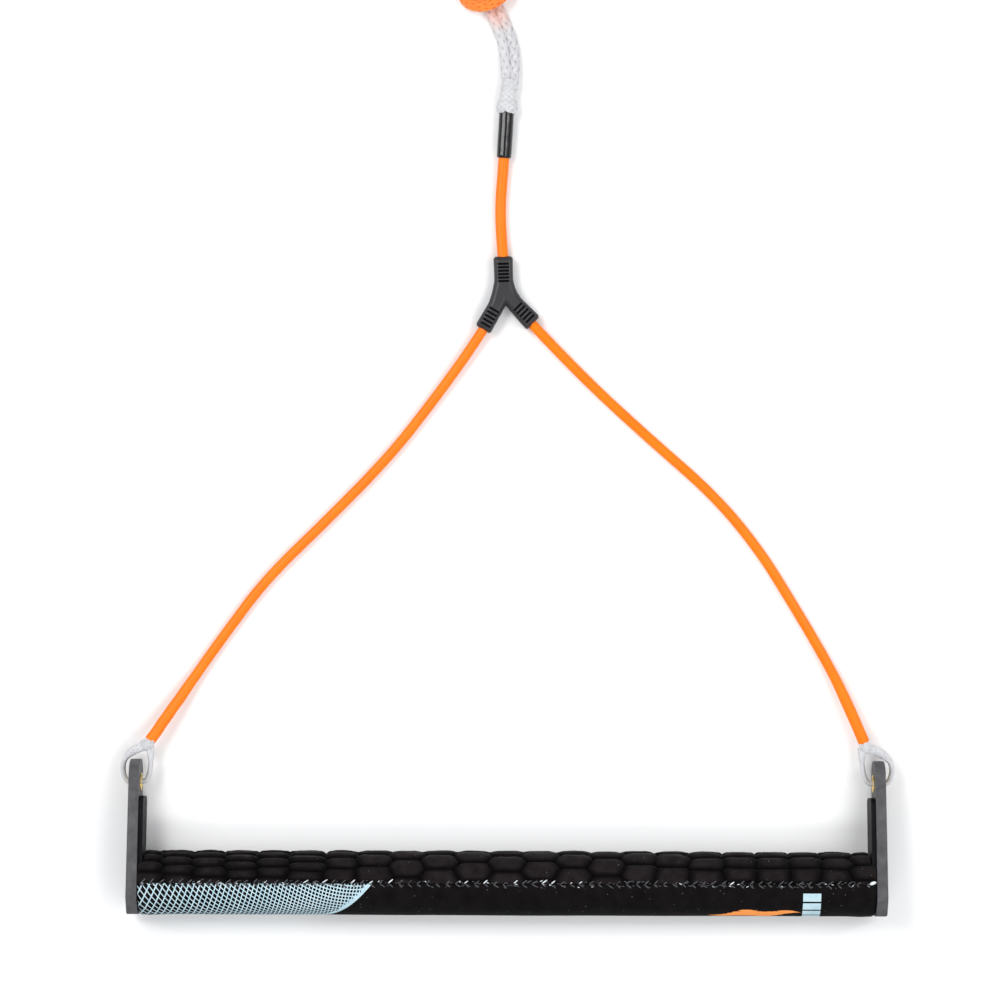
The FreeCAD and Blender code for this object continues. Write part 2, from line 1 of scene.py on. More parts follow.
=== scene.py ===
import bpy
import math
import random
import numpy as np
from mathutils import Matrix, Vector


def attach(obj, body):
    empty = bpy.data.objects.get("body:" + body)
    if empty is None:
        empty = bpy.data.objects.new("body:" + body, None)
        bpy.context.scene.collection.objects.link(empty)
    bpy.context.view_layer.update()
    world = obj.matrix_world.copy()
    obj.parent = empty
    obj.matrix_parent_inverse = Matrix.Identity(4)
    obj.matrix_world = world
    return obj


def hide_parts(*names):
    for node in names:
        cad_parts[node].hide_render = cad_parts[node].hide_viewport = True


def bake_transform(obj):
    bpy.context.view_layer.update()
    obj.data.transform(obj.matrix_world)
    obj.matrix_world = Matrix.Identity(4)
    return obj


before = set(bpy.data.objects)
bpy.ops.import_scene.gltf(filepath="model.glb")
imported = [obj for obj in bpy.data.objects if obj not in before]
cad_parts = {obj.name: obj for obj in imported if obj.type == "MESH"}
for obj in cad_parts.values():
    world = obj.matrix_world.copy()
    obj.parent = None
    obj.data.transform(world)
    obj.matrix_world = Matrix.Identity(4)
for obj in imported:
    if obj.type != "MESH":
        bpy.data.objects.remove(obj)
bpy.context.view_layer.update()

noise_rng = np.random.default_rng(7)
MM = 0.001
TURN = 2 * math.pi


def add_to_scene(made):
    bpy.context.scene.collection.objects.link(made)


# -------- camera, light, floor
camera_data = bpy.data.cameras.new("camera")
camera_data.lens = 141.8
camera_data.sensor_width = 36
camera = bpy.data.objects.new("camera", camera_data)
camera.location = (-0.0041, 0.1703, 2.0)
camera.rotation_euler = (0, 0, math.radians(0.19))
add_to_scene(camera)
bpy.context.scene.camera = camera
bpy.context.scene.view_settings.view_transform = "Standard"


def area_light(name, place, target, size, power):
    data = bpy.data.lights.new(name, "AREA")
    data.shape = "RECTANGLE"
    data.size, data.size_y = size
    data.energy = power
    light = bpy.data.objects.new(name, data)
    light.location = place
    light.rotation_euler = (Vector(target) - Vector(place)).to_track_quat("-Z", "Y").to_euler()
    add_to_scene(light)


area_light("key", (-0.75, 0.95, 1.5), (0, 0.15, 0), (0.7, 0.5), 11)
area_light("fill", (0.9, -0.2, 1.5), (0, 0.15, 0), (0.9, 0.9), 6)
area_light("strip", (0.15, -0.75, 1.1), (0, 0.0, 0), (1.1, 0.3), 5)
area_light("left_strip", (-0.95, 0.45, 1.15), (0, 0.3, 0), (0.14, 1.3), 6)
area_light("right_strip", (0.95, 0.45, 1.15), (0, 0.3, 0), (0.14, 1.3), 6)
world = bpy.data.worlds.new("studio")
world.use_nodes = True
glow = world.node_tree.nodes["Background"].inputs
glow[0].default_value = (0.95, 0.97, 1.0, 1)
glow[1].default_value = 0.42
bpy.context.scene.world = world


# -------- materials
def nodes_for(name):
    made = bpy.data.materials.new(name)
    made.use_nodes = True
    tree = made.node_tree
    return made, tree, tree.nodes["Principled BSDF"]


def node(tree, kind, **settings):
    made = tree.nodes.new(kind)
    for key, value in settings.items():
        if key.startswith("in_"):
            made.inputs[key[3:].replace("_", " ")].default_value = value
        else:
            setattr(made, key, value)
    return made


def set_inputs(shader, **values):
    for key, value in values.items():
        shader.inputs[key.replace("_", " ")].default_value = value


def math_node(tree, operation, a, b=None, c=None):
    made = tree.nodes.new("ShaderNodeMath")
    made.operation = operation
    for slot, value in zip(made.inputs, (a, b, c)):
        if value is None:
            continue
        if isinstance(value, (int, float)):
            slot.default_value = value
        else:
            tree.links.new(value, slot)
    return made.outputs[0]


def noise_of(tree, coords, scale, detail=3.0, rough=0.55, stretch=None):
    if stretch:
        mapped = node(tree, "ShaderNodeMapping")
        mapped.inputs["Scale"].default_value = stretch
        tree.links.new(coords, mapped.inputs["Vector"])
        coords = mapped.outputs[0]
    made = node(tree, "ShaderNodeTexNoise", in_Scale=scale, in_Detail=detail, in_Roughness=rough)
    tree.links.new(coords, made.inputs["Vector"])
    return made.outputs["Fac"]


def ramp(tree, value, stops):
    made = tree.nodes.new("ShaderNodeValToRGB")
    while len(made.color_ramp.elements) < len(stops):
        made.color_ramp.elements.new(0.5)
    for element, (place, colour) in zip(made.color_ramp.elements, stops):
        element.position = place
        element.color = (*colour, 1)
    tree.links.new(value, made.inputs[0])
    return made.outputs[0]


def mixed(tree, factor, a, b):
    made = node(tree, "ShaderNodeMix", data_type="RGBA")
    for slot, value in zip((made.inputs[0], made.inputs[6], made.inputs[7]), (factor, a, b)):
        if isinstance(value, tuple):
            slot.default_value = (*value, 1)
        elif isinstance(value, (int, float)):
            slot.default_value = value
        else:
            tree.links.new(value, slot)
    return made.outputs[2]


def bumped(tree, shader, height, strength, distance):
    made = node(tree, "ShaderNodeBump", in_Strength=strength, in_Distance=distance)
    tree.links.new(height, made.inputs["Height"])
    tree.links.new(made.outputs[0], shader.inputs["Normal"])


def object_coords(tree):
    return tree.nodes.new("ShaderNodeTexCoord").outputs["Object"]


def plain_finish(name, shades, mottle, rough, grain, metal=0.0, coat=0.0, shine=0.2):
    """shades: two colours mixed by noise of scale mottle; rough: (low, high);
    grain: (scale, strength, depth); shine: the strength of plain reflections."""
    made, tree, shader = nodes_for(name)
    where = object_coords(tree)
    cloud = noise_of(tree, where, mottle)
    colour = ramp(tree, cloud, [(0.3, shades[0]), (0.72, shades[1])])
    fine = noise_of(tree, where, grain[0], detail=2.0)
    tree.links.new(colour, shader.inputs["Base Color"])
    spread = node(tree, "ShaderNodeMapRange", in_To_Min=rough[0], in_To_Max=rough[1])
    tree.links.new(fine, spread.inputs["Value"])
    tree.links.new(spread.outputs[0], shader.inputs["Roughness"])
    set_inputs(shader, Metallic=metal, Specular_IOR_Level=shine, Coat_Weight=coat, Coat_Roughness=0.2)
    bumped(tree, shader, fine, grain[1], grain[2])
    return made


def fibre_finish(name, shades, rough, lines, tint=None, through=0.0):
    """Yarn, with fine fibres along the piece's own V coordinate; tint: (centre, reach, colour) of
    a stain that fades out; through: how much light passes into it."""
    made, tree, shader = nodes_for(name)
    flat = tree.nodes.new("ShaderNodeUVMap").outputs[0]
    where = object_coords(tree)
    fibres = noise_of(tree, flat, lines, detail=2.0, stretch=(1.0, 0.06, 1.0))
    cloud = noise_of(tree, where, 260.0)
    both = math_node(tree, "MULTIPLY_ADD", fibres, 0.6, math_node(tree, "MULTIPLY", cloud, 0.4))
    colour = ramp(tree, both, [(0.32, shades[0]), (0.62, shades[1])])
    if tint:
        centre, reach, shade = tint
        gap = node(tree, "ShaderNodeVectorMath", operation="DISTANCE")
        gap.inputs[1].default_value = centre
        tree.links.new(where, gap.inputs[0])
        near = node(tree, "ShaderNodeMapRange", in_From_Min=reach, in_From_Max=reach * 0.25, in_To_Max=0.85)
        tree.links.new(gap.outputs["Value"], near.inputs["Value"])
        amount = math_node(tree, "MULTIPLY", near.outputs[0], cloud)
        colour = mixed(tree, amount, colour, shade)
    tree.links.new(colour, shader.inputs["Base Color"])
    set_inputs(shader, Roughness=rough, Sheen_Weight=0.2, Subsurface_Weight=through,
               Subsurface_Radius=(0.0012, 0.0012, 0.0012))
    bumped(tree, shader, fibres, 0.35, 0.00025)
    return made


# -------- mesh tools (millimetres)
def place_mesh(name, verts, faces, material, body=None, stands_for=(), uvs=None, smooth=True):
    mesh = bpy.data.meshes.new(name)
    mesh.from_pydata((np.asarray(verts) * MM).tolist(), [], faces)
    if uvs is not None:
        layer = mesh.uv_layers.new(name="UVMap")
        layer.data.foreach_set("uv", np.asarray(uvs, np.float32).ravel())
    mesh.polygons.foreach_set("use_smooth", [smooth] * len(mesh.polygons))
    mesh.materials.append(material)
    mesh.update()
    made = bpy.data.objects.new(name, mesh)
    add_to_scene(made)
    if body:
        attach(made, body)
    if stands_for:
        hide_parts(*stands_for)
    return made


def spline_line(points):
    """The line of a NURBS spline with these control points (mm), as Blender evaluates it."""
    data = bpy.data.curves.new("route", "CURVE")
    data.dimensions = "3D"
    data.resolution_u = 24
    spline = data.splines.new("NURBS")
    spline.points.add(len(points) - 1)
    for slot, point in zip(spline.points, points):
        slot.co = (point[0], point[1], point[2], 1)
    spline.order_u = 3
    spline.use_endpoint_u = True
    holder = bpy.data.objects.new("route", data)
    add_to_scene(holder)
    bpy.context.view_layer.update()
    mesh = bpy.data.meshes.new_from_object(holder)
    line = np.array([v.co[:] for v in mesh.vertices])
    bpy.data.objects.remove(holder)
    bpy.data.curves.remove(data)
    bpy.data.meshes.remove(mesh)
    return line


def along(line, step):
    """The same line in even steps, and the length at each."""
    runs = np.linalg.norm(np.diff(line, axis=0), axis=1)
    total = np.concatenate([[0], np.cumsum(runs)])
    places = np.linspace(0, total[-1], max(int(round(total[-1] / step)), 2) + 1)
    return np.stack([np.interp(places, total, line[:, k]) for k in range(3)], 1), places


def unit(v):
    return v / np.maximum(np.linalg.norm(v, axis=-1, keepdims=True), 1e-12)


def axes_of(points):
    """Level sideways and upward directions along a line."""
    ahead = unit(np.gradient(points, axis=0))
    side = unit(np.cross(ahead, np.array([0.0, 0, 1])))
    return side, np.cross(side, ahead)


def ease(t):
    """From 0 to 1, slow at both ends."""
    t = np.clip(t, 0, 1)
    return t * t * (3 - 2 * t)


def quarter_round(t):
    """From 0 to 1 along a quarter of a circle, steep at the start."""
    return np.sqrt(np.clip(1 - (1 - np.clip(t, 0, 1))**2, 0, 1))


def steady(value):
    """The same value all along a line and round it."""
    return lambda s, a=0: value + 0 * s


def ring_quads(n, k):
    """Row and column of each cell between n closed rings of k points, and its four corners."""
    i, j = np.meshgrid(np.arange(n - 1), np.arange(k), indexing="ij")
    nxt = (j + 1) % k
    return i, j, np.stack([i * k + j, i * k + nxt, (i + 1) * k + nxt, (i + 1) * k + j], -1).reshape(-1, 4)


def skin(rings):
    """Quads and UVs over (n, k, 3) rings, closed at both ends."""
    n, k = rings.shape[:2]
    verts = rings.reshape(-1, 3)
    i, j, quads = ring_quads(n, k)
    u0, u1 = j / k, (j + 1) / k
    run = np.concatenate([[0], np.cumsum(np.linalg.norm(np.diff(rings.mean(1), axis=0), axis=1))]) / 20
    v0, v1 = run[i], run[i + 1]
    uvs = np.stack([u0, v0, u1, v0, u1, v1, u0, v1], -1).reshape(-1, 2)
    faces = quads.tolist()
    verts = np.vstack([verts, rings[0].mean(0), rings[-1].mean(0)])
    first, last = n * k, n * k + 1
    extra = []
    for q in range(k):
        faces.append([first, (q + 1) % k, q])
        faces.append([last, (n - 1) * k + q, (n - 1) * k + (q + 1) % k])
        extra += [[q / k, 0]] * 6
    return verts, faces, np.vstack([uvs, extra])


def width_at(s, wide):
    """A section's width over its height; wide is a number or a function of s."""
    return wide(s) if callable(wide) else np.full(len(s), wide)


def tube_rings(line, radius, sides, step, wide=1.0):
    """Rings of radius(s, a) about a line."""
    points, s = along(line, step)
    side, up = axes_of(points)
    a = np.linspace(0, TURN, sides, endpoint=False)
    r = radius(s[:, None], a[None, :]) * np.ones((len(s), sides))
    w = width_at(s, wide)[:, None]
    across = (r * np.cos(a) * np.sqrt(w))[..., None] * side[:, None, :]
    upward = (r * np.sin(a) / np.sqrt(w))[..., None] * up[:, None, :]
    return points[:, None, :] + across + upward


def join_parts(parts):
    verts, faces, uvs, base = [], [], [], 0
    for v, f, t in parts:
        verts.append(v)
        faces += [[q + base for q in face] for face in f]
        uvs.append(t)
        base += len(v)
    return np.vstack(verts), faces, np.vstack(uvs)


def braid_parts(line, radius, carriers, pitch, yarn, swell, step, wide=1.0, sides=8, turn=0.0):
    """Yarns plaited over and under each other about a line.

    radius(s) is to the middle of the yarns, yarn is (width, thickness), and swell(s) is how far
    they weave in and out."""
    points, s = along(line, step)
    side, up = axes_of(points)
    w = width_at(s, wide)
    q = np.linspace(0, TURN, sides, endpoint=False)
    half = carriers // 2
    parts = []
    for way in (1, -1):
        for k in range(half):
            turned = way * TURN * s / pitch + TURN * k / half + turn
            lift = way * np.cos(math.pi * carriers * s / pitch) * swell(s)
            out_x, out_z = np.cos(turned) * np.sqrt(w), np.sin(turned) / np.sqrt(w)
            out = out_x[:, None] * side + out_z[:, None] * up
            centre = points + out * (radius(s) + lift)[:, None]
            normal = unit(np.cos(turned)[:, None] * side / np.sqrt(w)[:, None]
                          + np.sin(turned)[:, None] * up * np.sqrt(w)[:, None])
            run = unit(np.gradient(centre, axis=0))
            across = unit(np.cross(run, normal))
            rings = (centre[:, None, :] + across[:, None, :] * (yarn[0] / 2 * np.cos(q))[None, :, None]
                     + normal[:, None, :] * (yarn[1] / 2 * np.sin(q))[None, :, None])
            parts.append(skin(rings))
    return parts


def place_parts(name, parts, material, body, node_name=None):
    """One piece of several closed skins; node_name is the CAD node that it stands for."""
    verts, faces, uvs = join_parts(parts)
    stands_for = [node_name] if node_name else ()
    return place_mesh(name, verts, faces, material, body, stands_for, uvs)


def surface_of(field, low, high, step):
    """A closed mesh where field(x, y, z) crosses zero; negative is inside."""
    axes = [np.arange(a, b + step, step) for a, b in zip(low, high)]
    grid = np.stack(np.meshgrid(*axes, indexing="ij"), -1)
    value = field(grid[..., 0], grid[..., 1], grid[..., 2])
    cells = tuple(n - 1 for n in value.shape)
    total = np.zeros((*cells, 3))
    count = np.zeros(cells)
    quads = []
    number = np.arange(np.prod(cells)).reshape(cells)
    for axis in range(3):
        lower = tuple(slice(0, -1) if k == axis else slice(None) for k in range(3))
        upper = tuple(slice(1, None) if k == axis else slice(None) for k in range(3))
        va, vb = value[lower], value[upper]
        cross = (va < 0) != (vb < 0)
        at = np.argwhere(cross)
        t = (va[cross] / (va[cross] - vb[cross]))[:, None]
        where = grid[lower][cross] * (1 - t) + grid[upper][cross] * t
        one, two = [k for k in range(3) if k != axis]
        around = []
        for da, db in ((0, 0), (-1, 0), (-1, -1), (0, -1)):
            cell = at.copy()
            cell[:, one] += da
            cell[:, two] += db
            np.add.at(total, tuple(cell.T), where)
            np.add.at(count, tuple(cell.T), 1)
            around.append(number[tuple(cell.T)])
        quad = np.stack(around, -1)
        flip = (va[cross] < 0) ^ (axis == 1)
        quad[flip] = quad[flip][:, ::-1]
        quads.append(quad)
    quads = np.vstack(quads)
    used = count.ravel() > 0
    points = total.reshape(-1, 3)[used] / count.ravel()[used][:, None]
    renumber = np.cumsum(used) - 1
    nudge = 0.02
    for _ in range(2):
        here = field(*points.T)
        slope = np.stack([field(*(points + d).T) - here for d in (np.eye(3) * nudge)], -1) / nudge
        move = -here[:, None] * slope / np.maximum((slope**2).sum(1), 0.2)[:, None]
        points += np.clip(move, -step * 0.5, step * 0.5)
    return points, renumber[quads].tolist()


def soft_min(a, b, k):
    """The smaller of two fields, with a fillet about k wide where they meet."""
    h = np.clip(0.5 + 0.5 * (b - a) / k, 0, 1)
    return b * (1 - h) + a * h - k * h * (1 - h)


def soft_max(a, b, k):
    return -soft_min(-a, -b, k)


def lumps(s, a, seed, scale):
    """Slow lumps along and round a tube, about -1 to 1."""
    r = np.random.default_rng(seed)
    total = 0
    for _ in range(5):
        length, phase, spin, turns = r.uniform(0.5, 1.8) * scale, *r.uniform(0, 6.28, 2), r.integers(0, 3)
        total = total + np.sin(TURN * s / length + phase) * np.cos(turns * a + spin)
    return total / 3


# -------- routes, as in the CAD (mm)
def heading(angle, upward):
    """A level direction this many degrees from the Y axis, towards +Y or -Y."""
    side, ahead = math.sin(math.radians(angle)), math.cos(math.radians(angle))
    return np.array([side, ahead if upward else -ahead, 0.0])


yoke_centre = np.array([-2.3, 274.2, 4.6])
stem_way = heading(-2.0, True)
left_way = heading(-30.0, False)
right_way = heading(45.5, False)
leg_start, stem_start = 8.1, 18.5
bore_x, bore_y, bore_z = 187.2, 27.57, 11.62
throat_reach = 20.3
fall = math.radians(5.0)


def eye_point(x, u):
    """A place u along the eye loops from the eyelets' bores, where they lean down by fall."""
    return np.array([x, bore_y + u * math.cos(fall), bore_z - u * math.sin(fall)])


left_throat = eye_point(-180.9, throat_reach)
right_throat = eye_point(180.5, throat_reach)
left_leg_route = [
    yoke_centre + left_way * leg_start, (-16.5, 250.5, 4.2), (-36.6, 222.5, 2.6), (-59.4, 193, 2.6),
    (-91, 160.5, 2.6), (-122, 130.5, 2.6), (-141, 105, 2.6), (-157, 82.5, 2.8), (-168.5, 65.5, 6.4),
    left_throat,
]
right_leg_route = [
    yoke_centre + right_way * leg_start, (15.5, 255.4, 4.3), (42, 228.5, 2.6), (71.6, 201.5, 2.6),
    (104.5, 173, 2.6), (127, 146, 2.6), (143, 120.5, 2.6), (158, 95.5, 2.7), (170, 73, 5.8),
    right_throat,
]
left_outer = [(182.6, 18.2), (189.4, 16.2), (194.6, 9.6), (192.9, 0), (bore_x, 0)]
left_inner = [(180.6, 17.4), (179.6, 10.8), (181.1, 0), (bore_x, 0)]
right_outer = [(181.8, 18.2), (189.2, 16.0), (195.0, 9.4), (192.9, 0), (bore_x, 0)]
right_inner = [(179.4, 17.6), (178.6, 11.2), (181.0, 0), (bore_x, 0)]
sleeve_start = np.array([-2.7, 343.5, 3.8])
sleeve_run = np.array([1.4, 24.1, 1.0])
sleeve_axis = sleeve_run / math.sqrt((sleeve_run**2).sum())
sleeve_length = 24.2
sleeve_end = sleeve_start + sleeve_axis * sleeve_length
lead_rope_route = [
    yoke_centre + stem_way * stem_start, (-3.9, 303.5, 3.5), (-4.5, 320, 2.8),
    sleeve_start - sleeve_axis * 5.5, sleeve_start + sleeve_axis * (sleeve_length / 2),
]
hitch_centre = np.array([-15.7, 436.5, 0.0])
hitch_along = heading(-24.0, True)
hitch_across = np.array([hitch_along[1], -hitch_along[0], 0])
tow_right_hitch = [
    (-26, 2.4, 2.35), (-13.5, 2.4, 2.35), (-8, 3.6, 4.0), (-4.2, 5.0, 9.6),
    (3.8, 9.4, 9.6), (9.5, 10.8, 4.2), (15, 8.6, 2.35), (18.5, 3.4, 2.35),
]
tow_left_hitch = [
    (-25.4, -2.4, 2.35), (-13.2, -2.4, 2.35), (-8, -3.7, 4.0), (-4.1, -5.1, 9.6),
    (3.9, -9.5, 9.6), (9.4, -10.6, 4.2), (14.8, -8.5, 2.35), (18.6, -3.2, 2.35),
]
tow_right_lead = [(1.7, 378.5, 4.7), (2.7, 388, 3.7), (2.6, 395.6, 2.6), (1.1, 404.6, 2.35)]
tow_left_lead = [(-0.6, 378.5, 4.7), (-2.0, 388, 3.7), (-2.3, 395, 2.6), (-3.6, 403.2, 2.35)]
main_left_hitch = [
    (-16.3, -4.4, 8.9), (-12.3, -10.3, 6.8), (-7, -11.6, 3.3), (-2.2, -9.5, 3.3),
    (4.2, -4.8, 3.4), (9.6, -3.4, 6.0), (15.0, -3.4, 9.0), (21, -3.4, 8.2), (30, -3.35, 3.6),
    (41, -3.3, 3.3),
]
main_right_hitch = [
    (-16.3, 4.4, 8.9), (-12.2, 10.4, 6.8), (-7, 11.6, 3.3), (-2.2, 9.4, 3.3),
    (4.2, 4.8, 3.4), (9.6, 3.4, 6.0), (15.0, 3.4, 9.0), (21, 3.35, 8.2), (30, 3.3, 3.6),
    (38.5, 3.0, 3.3), (48, 0.4, 3.3), (55, -0.3, 4.9), (63.5, 0.2, 6.0),
]


def hitch_points(places):
    """Places given as (along, across, up) from the hitch's middle."""
    return [hitch_centre + hitch_along * u + hitch_across * v + np.array([0, 0, w])
            for u, v, w in places]


def eye_route(side, outer, inner):
    """Down outside the arm, through the bore and back up inside it."""
    there = [eye_point(side * x, u) for x, u in outer]
    back = [eye_point(side * x, u) for x, u in inner]
    return there + back[-2::-1]


# -------- finishes
orange_coat = plain_finish("orange_coating", [(0.93, 0.185, 0.002), (0.97, 0.215, 0.003)], 55.0,
                           (0.34, 0.46), (900.0, 0.12, 0.00012), coat=0.05)
white_shades = [(0.52, 0.52, 0.54), (0.66, 0.66, 0.675)]
white_yarn = fibre_finish("white_braid", white_shades, 0.55, 34.0, through=0.1)
tow_yarn = fibre_finish("white_braid_tow", white_shades, 0.5, 34.0, through=0.1,
                        tint=((-0.0060, 0.4195, 0.004), 0.013, (0.95, 0.36, 0.2)))
orange_yarn = fibre_finish("orange_braid", [(0.85, 0.13, 0.004), (1.0, 0.30, 0.02)], 0.5, 40.0)
black_sleeve = plain_finish("black_sleeve", [(0.004, 0.004, 0.005), (0.008, 0.008, 0.009)], 90.0,
                            (0.1, 0.17), (700.0, 0.05, 0.0001), coat=0.25, shine=0.3)
yoke_rubber = plain_finish("yoke_rubber", [(0.020, 0.0185, 0.021), (0.027, 0.025, 0.028)], 120.0,
                           (0.34, 0.46), (2600.0, 0.12, 0.0001), shine=0.45)
# painted shade: a darker, duller rubber for the yoke's slot floors and walls, so the slots read as shaded
# recesses
slot_painted_shade = plain_finish("yoke_slot_rubber", [(0.004, 0.004, 0.0045), (0.008, 0.0075, 0.0085)], 120.0,
                           (0.6, 0.75), (2600.0, 0.12, 0.0001), shine=0.05)
arm_plastic = plain_finish("arm_plastic", [(0.060, 0.059, 0.064), (0.104, 0.103, 0.110)], 170.0,
                           (0.42, 0.58), (1900.0, 0.2, 0.00012))
brace_plastic = plain_finish("brace_plastic", [(0.005, 0.005, 0.006), (0.010, 0.010, 0.011)], 90.0,
                             (0.4, 0.55), (1500.0, 0.15, 0.0001), shine=0.05)
brass = plain_finish("eyelet_brass", [(0.62, 0.42, 0.12), (0.80, 0.60, 0.24)], 300.0, (0.18, 0.34),
                     (2200.0, 0.1, 0.00005), metal=1.0)
steel = plain_finish("screw_steel", [(0.42, 0.42, 0.43), (0.58, 0.58, 0.59)], 400.0, (0.2, 0.38),
                     (2600.0, 0.1, 0.00005), metal=1.0)
alloy = plain_finish("tube_alloy", [(0.60, 0.60, 0.61), (0.72, 0.72, 0.73)], 60.0, (0.28, 0.42),
                     (1200.0, 0.08, 0.00005), metal=1.0)
foam = plain_finish("float_foam", [(0.75, 0.74, 0.70), (0.85, 0.84, 0.80)], 200.0, (0.8, 0.95),
                    (900.0, 0.5, 0.0003))
neoprene = plain_finish("neoprene", [(0.012, 0.012, 0.013), (0.020, 0.020, 0.021)], 150.0, (0.8, 0.92),
                        (1600.0, 0.4, 0.0002))
plug_plastic = plain_finish("plug_plastic", [(0.02, 0.02, 0.022), (0.032, 0.032, 0.034)], 110.0, (0.4, 0.55),
                            (1500.0, 0.15, 0.0001))
seal_rubber = plain_finish("seal_rubber", [(0.010, 0.010, 0.010), (0.018, 0.018, 0.018)], 200.0, (0.6, 0.75),
                           (1800.0, 0.2, 0.0001))


# -------- coated bridle legs
def coated_leg(name, route, seed):
    """A leg that swells where its spliced core is doubled, in its last stretch before the eye loop."""
    line = spline_line(route)
    total = along(line, 1.0)[1][-1]
    splice_length, splice_taper = 46, 30

    def radius(s, a):
        near = ease((s - total + splice_length) / splice_taper)
        base = 2.55 + 0.34 * near
        lumpy = 0.03 * lumps(s, a, seed, 26) + near * 0.17 * lumps(s, a, seed + 1, 15)
        tip = np.clip((total - s) / 0.8, 0, 1)
        return (base + lumpy) * (0.93 + 0.07 * np.sqrt(tip))

    made = place_parts(name, [skin(tube_rings(line, radius, 32, 0.7))], orange_coat, "bridle",
                       name.replace("_coat", ""))


coated_leg("left_leg_rope_coat", left_leg_route, 3)
coated_leg("right_leg_rope_coat", right_leg_route, 9)

lead_line = spline_line(lead_rope_route)


def lead_radius(s, a):
    return 2.75 + 0.035 * lumps(s, a, 21, 24)


verts, faces, uvs = skin(tube_rings(lead_line, lead_radius, 32, 0.7))
lead_rope = place_mesh("lead_rope_coat", verts, faces, orange_coat, uvs=uvs)
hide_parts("lead_rope")
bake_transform(lead_rope)


# -------- eye loops of bare core
def eye_loop(name, side, outer, inner, throat, leg_route):
    """A braided loop, narrow and tall in its eyelet and wide and flat away from it."""
    line = spline_line(eye_route(side, outer, inner))
    points, places = along(line, 0.5)
    off_bore = np.abs(points[:, 0] - side * bore_x) + np.abs(points[:, 1] - bore_y)
    bore = places[np.argmin(off_bore)]

    def wide(s):
        return 0.76 + 0.9 * np.clip((np.abs(s - bore) - 16.0) / 6.0, 0, 1)

    def core_r(s, a=0):
        return 1.22 + 0.38 * np.clip((np.abs(s - bore) - 15.0) / 7.0, 0, 1)

    parts = [skin(tube_rings(line, core_r, 20, 0.6, wide))]
    parts += braid_parts(line, core_r, 12, 26.0, (1.5, 0.44), steady(0.06), 0.45, wide, turn=0.3)
    made = place_parts(f"{name}_braid", parts, white_yarn, "bridle", name)
    back = unit(throat - np.array(leg_route[-2]))
    fork = np.array([throat - back * 1.5, throat, throat + back * 2.5, throat + back * 5.4])

    def splice_r(s, a):
        grow = np.clip(s / 4.5, 0, 1)
        close = np.clip((6.9 - s) / 2.4, 0.05, 1)
        return (2.42 + 0.5 * grow) * np.sqrt(close) + 0.06 * lumps(s, a, 5, 6)

    def flare(s):
        return 1.0 + 0.42 * np.clip(s / 5, 0, 1)

    parts = [skin(tube_rings(fork, splice_r, 24, 0.35, flare))]
    parts += braid_parts(fork[:3], lambda s: 2.5 + 0.11 * s, 12, 26.0, (1.4, 0.5), steady(0.08), 0.35, flare)
    splice = place_parts(f"{name}_splice", parts, white_yarn, "bridle")


eye_loop("left_eye_loop", -1, left_outer, left_inner, left_throat, left_leg_route)
eye_loop("right_eye_loop", 1, right_outer, right_inner, right_throat, right_leg_route)

# -------- tow loop, collar and sleeve
tow_line = spline_line(
    tow_right_lead + hitch_points(tow_right_hitch)
    + hitch_points(tow_left_hitch)[::-1] + tow_left_lead[::-1])
tow_total = along(tow_line, 1.0)[1][-1]


def tow_plain(s):
    """0 on the plaited leg, 1 on the smooth leg."""
    return ease((s / tow_total - 0.45) / 0.12)


def tow_wide(s):
    return 1.16 + 0.26 * tow_plain(s)


def tow_core(s, a):
    return 1.9 - 0.04 * tow_plain(s)


tow_parts = [skin(tube_rings(tow_line, tow_core, 20, 0.8, tow_wide))]
tow_parts += braid_parts(
    tow_line, lambda s: 1.92 - 0.1 * tow_plain(s), 8, 27.0, (2.5, 0.76),
    lambda s: 0.22 - 0.16 * tow_plain(s), 0.5, tow_wide, turn=0.5)
tow_loop = place_parts("tow_loop_braid", tow_parts, tow_yarn, "lead", "tow_loop")

collar_line = np.array([sleeve_end + sleeve_axis * k for k in (-1.3, 2.0, 5.0, 8.0, 12.0, 16.0)])
collar_s = np.array([0, 1.0, 2.6, 4.6, 6.5, 8.4, 10.5, 13.5, 17.3])
collar_r = np.array([3.55, 4.35, 4.75, 4.6, 3.8, 3.5, 3.3, 3.1, 2.5])


def collar_radius(s):
    return np.interp(s, collar_s, collar_r)


def collar_skin(s, a):
    lobes = 0.45 * np.cos(2 * a + 0.5) + 0.3 * np.cos(3 * a + 2.0)
    return collar_radius(s) - 0.12 + np.clip(1 - np.abs(s - 2.6) / 3.4, 0, 1) * lobes


collar_wide = 1.28
collar_parts = [skin(tube_rings(collar_line, collar_skin, 40, 0.4, collar_wide))]
collar_parts += braid_parts(collar_line, lambda s: collar_radius(s) - 0.25, 14, 19.0, (2.0, 0.7),
                            steady(0.14), 0.35, collar_wide)
collar = place_parts("tow_loop_collar_braid", collar_parts, tow_yarn, "lead",
                     "tow_loop_collar")

sleeve_line = np.array([sleeve_start + sleeve_axis * k for k in (0, 8, 16, sleeve_length)])


def sleeve_radius(s, a):
    round_off = quarter_round(np.minimum(s, sleeve_length - s) / 1.3)
    return 2.9 + 0.85 * round_off + 0.07 * lumps(s, a, 31, 9) * round_off


place_parts("lead_sleeve_shrink", [skin(tube_rings(sleeve_line, sleeve_radius, 40, 0.3))], black_sleeve,
            "lead", "lead_sleeve")

# -------- main line's end loop
main_sleeve_from, main_sleeve_to, grip_squeeze = 31.5, 51.5, 0.45
main_line = spline_line(hitch_points(main_left_hitch)[::-1] + hitch_points(main_right_hitch))
main_points, main_s = along(main_line, 0.5)
main_reach = (main_points - hitch_centre) @ hitch_along


def gripped(s):
    """1 where the strands are held inside their sleeve."""
    reach = np.interp(s, main_s, main_reach)
    return (np.clip((reach - main_sleeve_from) / 1.5, 0, 1)
            * np.clip((main_sleeve_to - reach) / 1.5, 0, 1))


